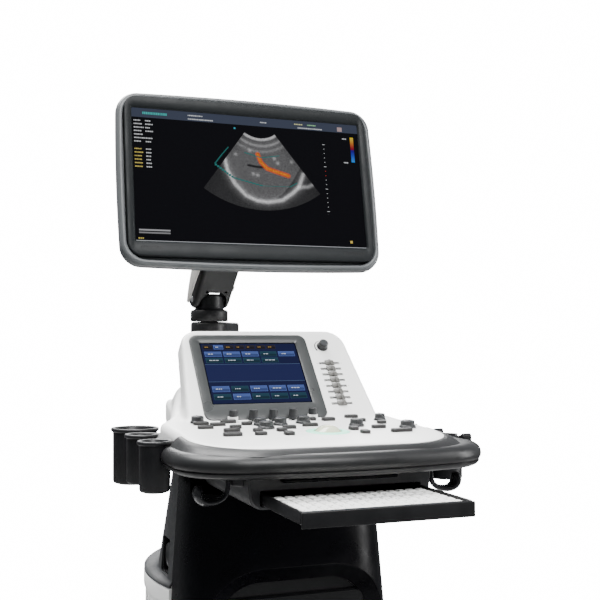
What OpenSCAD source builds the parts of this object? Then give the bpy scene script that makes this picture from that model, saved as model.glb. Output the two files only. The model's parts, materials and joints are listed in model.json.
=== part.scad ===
// Cart-mounted diagnostic ultrasound machine with an arm-held monitor, a tilted touch panel,
// a control deck, a pull-out keyboard and a height-adjustable console on four swivel casters.
// +X is the operator's right, -Y faces the operator, +Z is up, z = 0 is the floor.

/* [Base] */
// Width of the base over its cover
base_w = 580; // [560:5:600]
// Front edge of the base cover
base_front = -365; // [-375:5:-355]
// Rear edge of the base cover
base_rear = 453; // [445:1:460]
// Diameter of the caster wheels
wheel_d = 125; // [115:5:125]
// Width of a caster tyre
wheel_w = 30; // [26:1:32]
// Distance of the caster swivels from the middle plane
caster_x = 205; // [200:5:210]
// Place of the front caster swivels
caster_front = -285; // [-290:5:-275]
// Place of the rear caster swivels
caster_rear = 350; // [345:1:352]
// Trail of a caster wheel behind its swivel
caster_trail = 35; // [30:1:38]

/* [Column] */
// Height of the joint between the dark side panels and the white lower shells
rim_z = 569; // [560:1:580]
// Height of the column's top edge
column_top = 768; // [766:1:770]
// Height of the top of the arched port bay
bay_top = 619; // [610:1:622]
// Half width of the arched port bay
bay_half = 151; // [146:1:153]
// Number of probe sockets
socket_count = 4; // [3:1:4]

/* [Console] */
// Height of the control deck where it meets the touch panel housing
deck_z = 840; // [838:1:842]
// Downward slope of the deck towards the operator
deck_slope = 3.1; // [2.5:0.1:3.5]
// Reach of the white deck to the operator's left
deck_left = 207; // [205:1:207]
// Reach of the white deck to the operator's right
deck_right = 188; // [186:1:190]
// Front edge of the white deck
deck_front = -333; // [-335:1:-330]
// Half width over the hand rail
rail_half = 234; // [232:1:236]
// Front of the hand rail
rail_front = -368; // [-370:1:-366]
// Radius of the trackball
ball_r = 25.4; // [25:0.1:26]

/* [Touch panel] */
// Lean of the touch panel housing from the vertical
touch_tilt = 40.8; // [38:0.1:42]
// Centre of the touch screen's picture
touch_c = [-32.7, -11.6, 913.3];
// Width of the touch screen's picture
touch_w = 170.9; // [165:0.1:172]
// Height of the touch screen's picture
touch_h = 128.2; // [120:0.1:130]

/* [Keyboard] */
// Front edge of the tray, as drawn out for typing
tray_front = -453; // [-453:1:-440]
// Half width of the keyboard tray
tray_half = 120; // [116:1:122]

/* [Arm and monitor] */
// Swivel of the arm on the console's tower
tower_c = [0, 307];
// Swivel of the arm's elbow
elbow_c = [-47, 222];
// Swivel of the monitor's head
head_c = [-25, 124];
// Height of the lift arm's lower pivot
lift_z = 1042; // [1041:1:1044]
// Rise of the lift arm from the horizontal
lift_rise = 57; // [52:1:60]
// Centre of the monitor's picture
mon_c = [-25, 30, 1241];
// Backward tilt of the monitor
mon_tilt = 11; // [5:0.5:14]
// Width of the monitor's picture
pic_w = 409.8; // [405:0.1:412]
// Height of the monitor's picture
pic_h = 230.4; // [225:0.1:232]

/* [Hidden] */
$fn = 48;

// Running clearance of a shaft in its bore, on the radius
run = 0.05;
// Gap between pieces that move past each other
gap = 0.5;
// Wall of a moulded cover
wall = 4;

// Floor-to-top heights of the base's layers
chassis_z = 152;
cover_z = 190;
// Wheel bore and axle, swivel stem
axle_r = 6;
stem_r = 10;

// The covers behind the front one: rear plane, bend of the side panels and its angle
rear_y = 300;
bend_y = 88;
bend_turn = 19;
// Drum: greatest half width, and where it lies
drum_r = 191;
drum_y = 90;

// Recess in each side panel, with a round disc in it
slot_y = 22;
slot_w = 50;
slot_z = 580;
slot_h = 60;

// Lift column between the cart and the console
lift_c = [0, 150];
lift_r = 28;

// Height of the console's pan and where the white shell starts
pan_z = 786;
shell_z = 818;
rail_r = 100;

// Centres of the left cups, with outer radius and floor height: probe, probe, gel bottle
left_cups = [[-236, -168, 23, 750], [-234, -65, 23, 748], [-222, 44, 36, 734]];
cup_rim = 824;
// Centres of the right cups
right_x = 258;
right_cups = [-131, -38, 55];
right_r = 26;
right_rim = 812;

// Deck knobs: place and radius
knobs = [[-152, -88, 10.5], [-66, -164, 12], [-33, -135, 10.5], [9, -124, 11],
  [79, -171, 11], [143, -120, 9], [150, -204, 12], [-64, -131, 10]];
// Deck keys: place, width and depth
keys = [[-151, -106, 23, 9], [-129, -121, 23, 9], [-155, -146, 23, 9], [-105, -96, 24, 9],
  [-83, -122, 16, 9], [-110, -151, 17, 9], [-125, -182, 24, 10], [-136, -222, 27, 11],
  [-88, -191, 14, 10], [-94, -223, 17, 10], [-32, -172, 20, 9], [-52, -195, 15, 12],
  [-53, -229, 14, 16], [8, -156, 24, 8], [60, -103, 21, 13], [110, -80, 22, 9],
  [110, -125, 9, 9], [59, -205, 13, 16], [62, -241, 12, 16], [130, -154, 14, 9],
  [104, -198, 22, 9], [122, -240, 33, 10], [36, -96, 9, 9], [-60, -101, 9, 9]];
ball_c = [14, -213];
ball_drop = 15.5;
// Middle of the row of menu encoders at the panel's foot, and their spacing
encoder_c = [-26.6, -84];
encoder_pitch = 33.5;

// Touch panel layout, measured from the centre of its picture
bezel_c = [1.7, -7.7];
bezel_size = [208, 177];
gain_c = [133.5, 54.3];
tgc_x = 137;
tgc_top = 18;
tgc_pitch = 12.3;
slab_t = 42;

// Arm directions
arm_turn = atan((head_c.x - elbow_c.x) / (elbow_c.y - head_c.y));
arm_flat = norm([head_c.x - elbow_c.x, head_c.y - elbow_c.y]);
arm_len = arm_flat / cos(lift_rise);
head_z = lift_z + arm_flat * tan(lift_rise);
link_z = 968;
link_h = 32;
// Half width of the lift arm, thickness of its cheeks, and its pivot pins
arm_half = 37;
cheek_t = 9;
pin_r = 6;
// Monitor outlines and depths, measured from the picture's centre and plane
frame_size = [459, 302];
frame_u = -5;
mask_size = [436, 277];
mask_u = -2.5;
mon_depth = 42;
yoke_depth = 62;

function deck_height(y) = deck_z + (y + 75) * tan(deck_slope);

// A rounded rectangle
module round_rect(w, d, r) {
  square([w - 2 * r, d], center = true);
  square([w, d - 2 * r], center = true);
  for (i = [-1, 1], j = [-1, 1]) translate([i * (w / 2 - r), j * (d / 2 - r)]) circle(r);
}
// A plan or outline turned into a bar along Y, from its XZ drawing
module along_y(y0, y1) translate([0, y1, 0]) rotate([90, 0, 0]) linear_extrude(y1 - y0) children();
// The same along X, from a YZ drawing
module along_x(x0, x1) translate([x0, 0, 0]) rotate([90, 0, 90]) linear_extrude(x1 - x0) children();
// Frame on the deck surface, its Z square to the deck
module on_deck(x, y) translate([x, y, deck_height(y)]) rotate([deck_slope, 0, 0]) children();
// Frame on the touch panel's front plane: X to the right, Y up the panel, Z out of it
module on_touch(x, u) translate(touch_c) rotate([90 - touch_tilt, 0, 0]) translate([x, u, 0]) children();
// Frame on the monitor's picture plane: X to the right, Y up, Z out of the screen
module on_monitor() translate(mon_c) rotate([90 - mon_tilt, 0, 0]) children();
// Frame at the lift arm's lower pivot: X along the pivot, -Y forwards
module at_elbow() translate([elbow_c.x, elbow_c.y, lift_z]) rotate([0, 0, arm_turn]) children();
// Frame along the lift arm: X along the pivot, Y up the arm, Z square to it
module on_arm() at_elbow() rotate([180 - lift_rise, 0, 0]) children();

// ---- Base ----
module base_chassis() color("dimgray") difference() {
  union() {
    translate([0, 40, chassis_z]) linear_extrude(6) round_rect(500, 740, 60);
    for (x = [-caster_x, caster_x], y = [caster_front, caster_rear])
      translate([x, y, chassis_z]) cylinder(h = 33, r = 20);
    for (x = [-150, 150]) translate([x - 20, -280, chassis_z + 6]) cube([40, 620, 25]);
  }
  for (x = [-caster_x, caster_x], y = [caster_front, caster_rear])
    translate([x, y, chassis_z - 1]) cylinder(h = 40, r = stem_r + run);
}

module base_plan(inset) translate([0, (base_front + base_rear) / 2])
  round_rect(base_w - 2 * inset, base_rear - base_front - 2 * inset, 95 - inset);

module base_cover() color("whitesmoke") difference() {
  translate([0, 0, 141]) linear_extrude(cover_z - 141) base_plan(0);
  translate([0, 0, 140]) linear_extrude(cover_z - 140 - wall) base_plan(wall);
  translate([lift_c.x, lift_c.y, 180]) cylinder(h = 20, r = lift_r + 7.3);
}

// ---- Column covers ----
// Front view of the column between two half-width lines; inset moves the sides inwards
module column_face(inset, top) polygon([[-176 + inset, cover_z], [-176 + inset, 480],
  [-172 + inset, rim_z], [-159 + inset, top], [159 - inset, top], [172 - inset, rim_z],
  [176 - inset, 480], [176 - inset, cover_z]]);
// Side view of the column's front
module column_side(inset, top) polygon([[-178 + inset, cover_z - 1], [-168 + inset, 400],
  [-143 + inset, 560], [-113 + inset, top], [-8, top], [-8, cover_z - 1]]);
// Arch of the port bay
module bay_arch(grow) {
  translate([0, (bay_top + 330) / 2]) round_rect(2 * (bay_half + grow), bay_top - 330 + 2 * grow, 60);
  translate([0, (bay_top + 430) / 2]) round_rect(2 * (bay_half + grow), bay_top - 430 + 2 * grow, 85);
}

module front_cover() color([0.07, 0.07, 0.09]) difference() {
  intersection() {
    along_y(-180, -8) column_face(0, column_top);
    along_x(-230, 230) column_side(0, column_top);
  }
  intersection() {
    along_y(-181, -7) column_face(wall, column_top - wall);
    along_x(-231, 231) column_side(wall, column_top - wall);
  }
  along_y(-200, -100) bay_arch(0);
  translate([-156, -200, 730]) cube([312, 200, 60]);
}

// A side band of the column's face, from y0 to y1 and z0 to z1, on the left
module side_band(y0, y1, z0, z1) intersection() {
  difference() {
    along_y(y0, y1) column_face(0, column_top);
    along_y(y0 - 1, y1 + 1) column_face(wall, column_top + 1);
  }
  translate([-300, y0, z0]) cube([300, y1 - y0, z1 - z0]);
}

// Half width of the rounded drum under the side panels, at a depth
function drum_half(y) = drum_r * sqrt(1 - pow((y - drum_y) / (y < drum_y ? 240 : 250), 2));
drum_ys = [-7.5, for (i = [1:15]) -7.5 + i * (rear_y - 0.5 + 7.5) / 15];
// Left half of the drum's plan, from its outline in to a line behind the side panel
module drum_side(inset) polygon(concat([for (y = drum_ys) [-drum_half(y) + inset, y]],
  [[-88, rear_y - 0.5], [-160, bend_y], [-160, -7.5]]));

// Front part, rear part turned inwards, recess with its disc, and the flared foot
module side_panel_left() color([0.3, 0.3, 0.31]) {
  difference() {
    union() {
      side_band(-6, bend_y, rim_z + 0.5, column_top);
      translate([-166.5, slot_y - 4, slot_z - 4]) cube([20.5, slot_w + 8, slot_h + 8]);
      translate([-165, bend_y, 0]) rotate([0, 0, -bend_turn]) translate([165, -bend_y, 0])
        side_band(bend_y - 3, 309, rim_z + 0.5, column_top);
    }
    translate([-190, slot_y, slot_z]) cube([40, slot_w, slot_h]);
  }
  translate([0, slot_y + slot_w / 2, slot_z + slot_h / 2]) along_x(-158, -149.9) circle(21);
  translate([0, 0, rim_z + 0.5]) linear_extrude(5) drum_side(0);
}
module side_panel_right() mirror([1, 0, 0]) side_panel_left();

module side_shell_left() color("whitesmoke") difference() {
  translate([0, 0, cover_z]) linear_extrude(rim_z - cover_z) difference() {
    drum_side(0);
    polygon(concat([for (y = drum_ys) [-drum_half(y) + wall + 1, y + 0.01 * (y - drum_y)]],
      [[-60, rear_y], [-60, -9]]));
  }
  for (i = [0:9]) translate([-drum_half(23 + 22 * i) - 5, 20 + 22 * i, 250]) cube([16, 6, 285]);
}
module side_shell_right() mirror([1, 0, 0]) side_shell_left();

module rear_cover() color("whitesmoke") difference() {
  union() {
    along_y(rear_y, rear_y + wall) polygon([[-104, cover_z], [-104, rim_z], [-99, rim_z],
      [-85, column_top], [85, column_top], [99, rim_z], [104, rim_z], [104, cover_z]]);
    translate([-60, rear_y - 12, 226]) cube([60, 13, 46]);
  }
  for (i = [0:8]) translate([-80, rear_y - 5, 320 + i * 20]) cube([160, 20, 8]);
  translate([-46, rear_y - 9, 238]) cube([32, 20, 22]);
}

// A pan behind the arch, with a raised block of probe sockets on its back wall
module port_panel() color([0.2, 0.2, 0.22]) difference() {
  union() {
    difference() {
      intersection() {
        translate([-bay_half - 4, -180, 322]) cube([2 * bay_half + 8, 130, bay_top - 314]);
        along_x(-bay_half - 5, bay_half + 5) column_side(wall + 0.2, column_top);
      }
      along_y(-200, -98) bay_arch(0.5);
    }
    translate([-116, -106, 430]) cube([232, 8.5, 140]);
  }
  for (i = [0:socket_count - 1])
    translate([(i - (socket_count - 1) / 2) * 56 - 19, -107, 450]) cube([38, 42, 96]);
  translate([-120, -60, 330]) cube([240, 20, 270]);
}

module lift_tube_outer() color("silver") translate([lift_c.x, lift_c.y, 158]) difference() {
  union() {
    cylinder(h = 560, r = lift_r + 7);
    translate([-60, -48, 0]) cube([120, 96, 8]);
  }
  translate([0, 0, 20]) cylinder(h = 600, r = lift_r + run);
}

// ---- Casters ----
module caster_fork(x, y) color([0.75, 0.75, 0.76]) translate([x, y, 0]) {
  translate([0, 0, 132]) cylinder(h = 14, r = 30);
  translate([0, 0, 140]) cylinder(h = 44, r = stem_r);
  for (s = [-1, 1]) along_x(s * 19.5 - 2.5, s * 19.5 + 2.5) {
    polygon([[-22, 140], [28, 140], [caster_trail + 14, wheel_d / 2], [caster_trail - 14, wheel_d / 2]]);
    translate([caster_trail, wheel_d / 2]) circle(14);
  }
  translate([-22, caster_trail, wheel_d / 2]) rotate([0, 90, 0]) cylinder(h = 44, r = axle_r);
}
module caster_wheel(x, y) color([0.16, 0.16, 0.17])
  translate([x - wheel_w / 2, y + caster_trail, wheel_d / 2]) rotate([90, 0, 90]) rotate_extrude()
    polygon([[axle_r + run, 0], [20, 0], [22, 5], [44, 5], [46, 2], [57, 2], [wheel_d / 2, 8],
      [wheel_d / 2, wheel_w - 8], [57, wheel_w - 2], [46, wheel_w - 2], [44, wheel_w - 5],
      [22, wheel_w - 5], [20, wheel_w], [axle_r + run, wheel_w]]);

// ---- Console ----
module lift_tube_inner() color("gainsboro") translate([lift_c.x, lift_c.y, 400])
  cylinder(h = pan_z - 400, r = lift_r);

// Plan of the pan and rail; inset moves the edge inwards
module rail_plan(inset) {
  for (s = [-1, 1]) translate([s * (rail_half - rail_r), -253]) circle(rail_r - inset);
  translate([-(rail_half - rail_r), -353 + inset]) square([2 * (rail_half - rail_r), 120]);
  intersection() {
    translate([0, rail_front + 620 + inset]) circle(620, $fn = 120);
    translate([-135, -380]) square([270, 60]);
  }
  translate([-rail_half + inset, -253]) square([2 * (rail_half - inset), 56]);
}

// Plan of the white deck; inset moves the edge inwards
module deck_plan(inset) {
  for (x = [-deck_left + 100, deck_right - 100]) translate([x, deck_front + 100]) circle(100 - inset);
  polygon([[-deck_left + 100, deck_front + inset], [deck_right - 100, deck_front + inset],
    [deck_right - inset, deck_front + 100], [deck_right - inset, -70], [172 - inset, 0],
    [150 - inset, 100], [124 - inset, 250 - inset], [-124 + inset, 250 - inset],
    [-150 + inset, 100], [-172 + inset, 0],
    [-deck_left + inset, -70], [-deck_left + inset, deck_front + 100]]);
}
// Plan of the skirt that covers the column's top; inset moves the edge inwards
module skirt_plan(inset) polygon([[-150 + inset, -69.5 + inset], [150 - inset, -69.5 + inset],
  [150 - inset, bend_y], [92 - inset, rear_y + 8 - inset], [-92 + inset, rear_y + 8 - inset],
  [-150 + inset, bend_y]]);

// Hand rail, floor pan and side walls under the deck, tower platform and skirt over the column
module console_base() color([0.28, 0.28, 0.29]) {
  difference() {
    translate([0, 0, pan_z]) linear_extrude(shell_z - pan_z) {
      rail_plan(0);
      deck_plan(3);
    }
    translate([0, 0, pan_z + 4]) linear_extrude(60) deck_plan(7);
  }
  translate([0, 300, pan_z]) linear_extrude(6) round_rect(170, 104, 30);
  translate([0, 0, pan_z]) linear_extrude(4) skirt_plan(0);
  translate([0, 0, column_top + 1.5]) linear_extrude(pan_z - column_top - 1.5) difference() {
    skirt_plan(0);
    skirt_plan(wall);
  }
}

// Side view of the deck and the hump behind the panel
module deck_side(drop) polygon([[-360, shell_z - 1], [-360, deck_height(-360) - drop],
  [-75, deck_z - drop], [-20, deck_z + 3 - drop], [32, 892 - drop], [110, 892 - drop],
  [260, 850 - drop], [260, shell_z - 1]]);

// Outline of the touch panel's housing in its own plane
module slab_outline(inset) {
  polygon([[-132.3 + inset, -112], [-112.3 + inset, 60], [-84, 91 - inset], [149, 91 - inset],
    [177.7 - inset, 60], [197.7 - inset, -112]]);
  for (x = [-82.3, 147.7]) translate([x, 61]) circle(30 - inset);
}

module console_shell() color("whitesmoke") difference() {
  union() {
    difference() {
      intersection() {
        translate([0, 0, shell_z]) linear_extrude(120) deck_plan(0);
        along_x(-230, 230) deck_side(0);
      }
      intersection() {
        translate([0, 0, shell_z - 1]) linear_extrude(120) deck_plan(wall);
        along_x(-231, 231) deck_side(5);
      }
    }
    on_touch(0, 0) translate([0, 0, -slab_t]) linear_extrude(slab_t) slab_outline(0);
  }
  on_touch(0, 0) translate([0, 0, -slab_t + wall]) linear_extrude(slab_t - 10) slab_outline(wall);
  on_touch(bezel_c.x, bezel_c.y) translate([0, 0, -7]) linear_extrude(8)
    round_rect(bezel_size.x + 0.4, bezel_size.y + 0.4, 14);
  on_touch(gain_c.x, gain_c.y) translate([0, 0, -12]) cylinder(h = 20, r = 3 + run);
  for (i = [0:7]) on_touch(tgc_x - 19, tgc_top - i * tgc_pitch - 1.4)
    translate([0, 0, -7]) cube([38, 2.8, 8]);
  for (k = knobs) on_deck(k.x, k.y) translate([0, 0, -9]) cylinder(h = 20, r = 3 + run);
  for (i = [-2:2]) on_deck(encoder_c.x + i * encoder_pitch, encoder_c.y)
    translate([0, 0, -12]) cylinder(h = 24, r = 2.5 + run);
  for (k = keys) on_deck(k.x, k.y) translate([0, 0, -2.6]) linear_extrude(10)
    round_rect(k[2] + 0.8, k[3] + 0.8, 4);
  on_deck(ball_c.x, ball_c.y) translate([0, 0, -ball_drop]) sphere(ball_r + 0.4);
}

module touch_bezel() color([0.6, 0.62, 0.62]) on_touch(0, 0) difference() {
  translate([bezel_c.x, bezel_c.y, -6.8]) linear_extrude(8.8) round_rect(bezel_size.x, bezel_size.y, 14);
  translate([-touch_w / 2, -touch_h / 2, -0.4]) cube([touch_w, touch_h, 4]);
  translate([-touch_w / 2 - 3, -touch_h / 2 - 3, -4.4]) cube([touch_w + 6, touch_h + 6, 4.1]);
}

module touch_screen() color([0.1, 0.16, 0.32]) on_touch(0, 0)
  translate([-touch_w / 2 - 2.8, -touch_h / 2 - 2.8, -4.3]) cube([touch_w + 5.6, touch_h + 5.6, 3.8]);

// Front view of the keyboard's housing
module housing_face() {
  translate([0, 762]) round_rect(276, 48, 18);
  translate([0, 774]) round_rect(276, 24, 4);
}
module keyboard_housing() color([0.14, 0.14, 0.15]) difference() {
  union() {
    along_y(-301, -70) housing_face();
    translate([-150, -280, 770]) cube([300, 210, 16]);
  }
  translate([-tray_half - 1.5, -310, 743]) cube([2 * tray_half + 3, 233, 30]);
}

module cup(c, floor_z, rim_z, rim) translate([c.x, c.y, 0]) {
  translate([0, 0, floor_z]) cylinder(h = rim_z - floor_z, r = c[2]);
  translate([0, 0, rim_z - 5]) cylinder(h = 5, r = c[2] + rim);
}

module cup_holder_left() color([0.09, 0.09, 0.1]) difference() {
  union() {
    for (c = left_cups) cup(c, c[3], cup_rim, 3);
    translate([0, 0, 792]) linear_extrude(20) difference() {
      translate([-226, -190]) square([76, 260]);
      deck_plan(2.8);
      rail_plan(-0.3);
    }
  }
  for (c = left_cups) translate([c.x, c.y, c[3] + 3]) cylinder(h = 120, r = c[2] - 3.5);
}

module probe_rack_right() color([0.09, 0.09, 0.1]) difference() {
  union() {
    for (y = right_cups) cup([right_x, y, right_r], 741, right_rim, 3);
    translate([0, 0, 792]) linear_extrude(16) difference() {
      translate([150, -194]) square([92, 280]);
      deck_plan(2.8);
      rail_plan(-0.3);
    }
    for (y = right_cups) translate([right_x + 14, y - 34, 770]) cube([15, 12, 46]);
  }
  for (y = right_cups) {
    translate([right_x, y, 744]) cylinder(h = 90, r = right_r - 3);
    translate([right_x, y - 8, 744]) cube([60, 16, 90]);
  }
}

// One hook, drawn in its front view and open at the top outside
module hook(s) along_y(-278, -254) difference() {
  union() {
    translate([s * 180, 760]) round_rect(50, 38, 14);
    translate([s * 159, 773]) square([18, 18], center = true);
  }
  translate([s * 179, 763]) round_rect(34, 26, 9);
  translate([s * 194, 777]) square([22, 14], center = true);
}
module cable_hooks() color([0.05, 0.05, 0.06]) {
  hook(-1);
  hook(1);
}

module arm_tower() color([0.28, 0.28, 0.29]) difference() {
  translate([tower_c.x, tower_c.y, 0]) {
    translate([0, 0, pan_z + 6]) linear_extrude(10) round_rect(104, 88, 20);
    translate([0, 0, pan_z + 6]) cylinder(h = link_z - pan_z - 6, r = 38);
  }
  translate([tower_c.x, tower_c.y, link_z - 50]) cylinder(h = 60, r = 14 + run);
}

// ---- Keyboard ----
module keyboard_tray() color([0.16, 0.16, 0.17]) {
  translate([-tray_half, tray_front, 745]) cube([2 * tray_half, 223, 5]);
  translate([-tray_half, tray_front, 745]) cube([2 * tray_half, 6, 17]);
  for (s = [-1, 1]) translate([s * (tray_half - 2) - 2, tray_front, 745]) cube([4, 223, 15]);
  translate([-114, tray_front + 7, 749]) cube([228, 130, 3]);
}

// The keyboard's caps: six rows, with a space bar in the front row
key_pitch = [15, 20.5];
module keyboard_keys() color([0.93, 0.93, 0.92]) translate([-112, tray_front + 11, 753.5]) {
  for (r = [0:5], c = [0:14]) if (r > 0 || c < 4 || c > 9)
    translate([c * key_pitch.x + 0.7, r * key_pitch.y, 0]) cube([key_pitch.x - 1.6, 18.5, 6]);
  translate([4 * key_pitch.x + 0.7, 0, 0]) cube([6 * key_pitch.x - 1.6, 18.5, 6]);
}

module release_paddle() color([0.2, 0.2, 0.21]) {
  translate([-92, -313, 775]) cube([174, 11.5, 5]);
  translate([-92, -306, 779.5]) cube([174, 4.5, 5.5]);
}

// ---- Controls ----
module trackball() color([0.91, 0.92, 0.84]) on_deck(ball_c.x, ball_c.y)
  translate([0, 0, -ball_drop]) sphere(ball_r);

// A knob on a short shaft, standing on its surface
module knob(r, h) {
  translate([0, 0, 0.5]) cylinder(h = h, r = r);
  translate([0, 0, -7]) cylinder(h = 8, r = 3);
}
module gain_knob() color([0.3, 0.31, 0.33]) on_touch(gain_c.x, gain_c.y) knob(9, 12);
module deck_knob(i) color([0.33, 0.34, 0.36]) on_deck(knobs[i].x, knobs[i].y) knob(knobs[i][2], 11);

module tgc_slider(i) color([0.68, 0.67, 0.64]) on_touch(tgc_x, tgc_top - i * tgc_pitch) {
  translate([-7, -4.2, 0.5]) cube([14, 8.4, 6.5]);
  translate([-2.5, -1.1, -6]) cube([5, 2.2, 7]);
}

module menu_encoders() color([0.3, 0.31, 0.33]) for (i = [-2:2])
  on_deck(encoder_c.x + i * encoder_pitch, encoder_c.y) {
    translate([0, 0, 2]) cylinder(h = 14.5, r = 6.5);
    translate([0, 0, -7]) cylinder(h = 9.5, r = 2.5);
  }

module deck_keys() color([0.28, 0.26, 0.25]) for (k = keys)
  on_deck(k.x, k.y) translate([0, 0, -1]) linear_extrude(4.8) round_rect(k[2], k[3], 3.5);

// ---- Arm and monitor ----
module arm_lower_link() color([0.2, 0.2, 0.21]) difference() {
  union() {
    translate([0, 0, link_z + gap]) linear_extrude(link_h - gap) {
      translate(tower_c) circle(36);
      translate(elbow_c) circle(35);
      translate(elbow_c) rotate(atan2(tower_c.y - elbow_c.y, tower_c.x - elbow_c.x))
        translate([0, -33]) square([norm(tower_c - elbow_c), 66]);
    }
    translate([tower_c.x, tower_c.y, link_z - 44]) cylinder(h = 46, r = 14);
  }
  translate([elbow_c.x, elbow_c.y, link_z + 8]) cylinder(h = 40, r = 14 + run);
}

// Turret on the elbow: swivel stem, disc, neck and the lower pivot pin
module arm_elbow() color([0.2, 0.2, 0.21]) {
  translate([elbow_c.x, elbow_c.y, 0]) {
    translate([0, 0, link_z + 10]) cylinder(h = 30, r = 14);
    translate([0, 0, link_z + link_h + gap]) cylinder(h = 23, r = 35);
    translate([0, 0, link_z + link_h + gap]) cylinder(h = lift_z + 10 - link_z - link_h, r = 26.5);
  }
  at_elbow() along_x(-arm_half, arm_half) circle(pin_r);
}

// A closed front web between two cheeks, hollow behind, with a pivot bore at each end
module lift_arm() color([0.2, 0.2, 0.21]) on_arm() difference() {
  union() {
    for (x = [-arm_half, arm_half - cheek_t]) along_x(x, x + cheek_t) {
      for (at = [0, arm_len]) translate([at, 0]) circle(17);
      translate([0, -17]) square([arm_len, 34]);
    }
    translate([-arm_half, 34, -17]) cube([2 * arm_half, arm_len - 68, 34]);
  }
  for (at = [0, arm_len]) along_x(-40, 40) translate([at, 0]) circle(pin_r + run);
  translate([-arm_half + cheek_t, 40, -29]) cube([2 * (arm_half - cheek_t), arm_len - 80, 40]);
}

// Block between the arm's upper cheeks, with its pin and the swivel post of the monitor
module head_block() color([0.2, 0.2, 0.21]) translate([head_c.x, head_c.y, head_z]) {
  rotate([0, 0, arm_turn]) {
    along_x(-27, 27) circle(13);
    along_x(-arm_half, arm_half) circle(pin_r);
    translate([-22, -13, 0]) cube([44, 26, 20]);
  }
  translate([0, 0, 18.5]) cylinder(h = 6, r = 18);
  translate([0, 0, 20]) cylinder(h = 36, r = 10);
}

// The tilt pivot lies behind the monitor's middle
tilt_c = [mon_c.x, mon_c.y + yoke_depth * cos(mon_tilt), mon_c.z - yoke_depth * sin(mon_tilt)];

module monitor_yoke() color([0.2, 0.2, 0.21]) {
  difference() {
    union() {
      translate([head_c.x, head_c.y, head_z + 25]) cylinder(h = 32, r = 16);
      translate([head_c.x - 14, tilt_c.y, head_z + 29]) cube([28, head_c.y - tilt_c.y, 24]);
    }
    translate([head_c.x, head_c.y, head_z + 20]) cylinder(h = 60, r = 10 + run);
  }
  translate(tilt_c) {
    along_x(-28, 28) circle(9);
    along_x(-42, 42) circle(5);
  }
}

module monitor_rear_shell() color([0.75, 0.76, 0.76]) on_monitor() difference() {
  union() {
    translate([0, frame_u, -mon_depth]) linear_extrude(mon_depth + 2)
      round_rect(frame_size.x, frame_size.y, 30);
    for (s = [-1, 1]) along_x(s * 36 - 5, s * 36 + 5) {
      translate([0, -yoke_depth]) circle(12);
      translate([-12, -yoke_depth]) square([24, yoke_depth - mon_depth + 2]);
    }
  }
  translate([0, mask_u, -9]) linear_extrude(20) round_rect(mask_size.x + 0.4, mask_size.y + 0.4, 22);
  translate([0, mask_u, -mon_depth + 4]) linear_extrude(60) round_rect(400, 240, 15);
  along_x(-60, 60) translate([0, -yoke_depth]) circle(5 + run);
}

module monitor_bezel() color([0.33, 0.36, 0.38]) on_monitor() difference() {
  translate([0, mask_u, -8.8]) linear_extrude(11) round_rect(mask_size.x, mask_size.y, 22);
  translate([-pic_w / 2, -pic_h / 2, -1]) cube([pic_w, pic_h, 8]);
  translate([-pic_w / 2 - 2, -pic_h / 2 - 2, -9]) cube([pic_w + 4, pic_h + 4, 8.2]);
}

module lcd_panel() color([0.03, 0.03, 0.05]) on_monitor()
  translate([-pic_w / 2 - 1.8, -pic_h / 2 - 1.8, -8.7]) cube([pic_w + 3.6, pic_h + 3.6, 7.8]);

// Cable bow along the arm's right side, as a swept tube
cable_r = 4;
cable_rings = 26;
cable_sides = 10;
function cable_at(t) = [41.2 + 8 * sin(180 * t), 24 + 128 * t, -4 - 30 * sin(180 * t)];
function cable_dir(t) = let(d = cable_at(t + 0.01) - cable_at(t - 0.01)) d / norm(d);
function cable_ring(t) = let(d = cable_dir(t), c = cross(d, [1, 0, 0]), p = c / norm(c), q = cross(d, p))
  [for (k = [0:cable_sides - 1]) let(a = 360 * k / cable_sides)
    cable_at(t) + cable_r * (cos(a) * p + sin(a) * q)];
module monitor_cable() color([0.05, 0.05, 0.05]) on_arm() polyhedron(
  points = [for (i = [0:cable_rings]) each cable_ring(i / cable_rings)],
  faces = concat([[for (k = [0:cable_sides - 1]) k]],
    [for (i = [0:cable_rings - 1], k = [0:cable_sides - 1])
      let(n = (k + 1) % cable_sides, a = i * cable_sides)
      [a + k, a + cable_sides + k, a + cable_sides + n, a + n]],
    [[for (k = [cable_sides - 1:-1:0]) cable_rings * cable_sides + k]]));

base_chassis();
base_cover();
front_cover();
side_panel_left();
side_panel_right();
side_shell_left();
side_shell_right();
rear_cover();
port_panel();
lift_tube_outer();
caster_fork(-caster_x, caster_front);  // caster_fork_fl
caster_fork(caster_x, caster_front);  // caster_fork_fr
caster_fork(-caster_x, caster_rear);  // caster_fork_rl
caster_fork(caster_x, caster_rear);  // caster_fork_rr
caster_wheel(-caster_x, caster_front);  // caster_wheel_fl
caster_wheel(caster_x, caster_front);  // caster_wheel_fr
caster_wheel(-caster_x, caster_rear);  // caster_wheel_rl
caster_wheel(caster_x, caster_rear);  // caster_wheel_rr
lift_tube_inner();
console_base();
console_shell();
touch_bezel();
touch_screen();
keyboard_housing();
cup_holder_left();
probe_rack_right();
cable_hooks();
arm_tower();
keyboard_tray();
keyboard_keys();
release_paddle();
trackball();
gain_knob();
tgc_slider(0);  // tgc_slider_1
tgc_slider(1);  // tgc_slider_2
tgc_slider(2);  // tgc_slider_3
tgc_slider(3);  // tgc_slider_4
tgc_slider(4);  // tgc_slider_5
tgc_slider(5);  // tgc_slider_6
tgc_slider(6);  // tgc_slider_7
tgc_slider(7);  // tgc_slider_8
menu_encoders();
deck_keys();
deck_knob(0);  // deck_knob_1
deck_knob(1);  // deck_knob_2
deck_knob(2);  // deck_knob_3
deck_knob(3);  // deck_knob_4
deck_knob(4);  // deck_knob_5
deck_knob(5);  // deck_knob_6
deck_knob(6);  // deck_knob_7
deck_knob(7);  // deck_knob_8
arm_lower_link();
arm_elbow();
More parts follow.
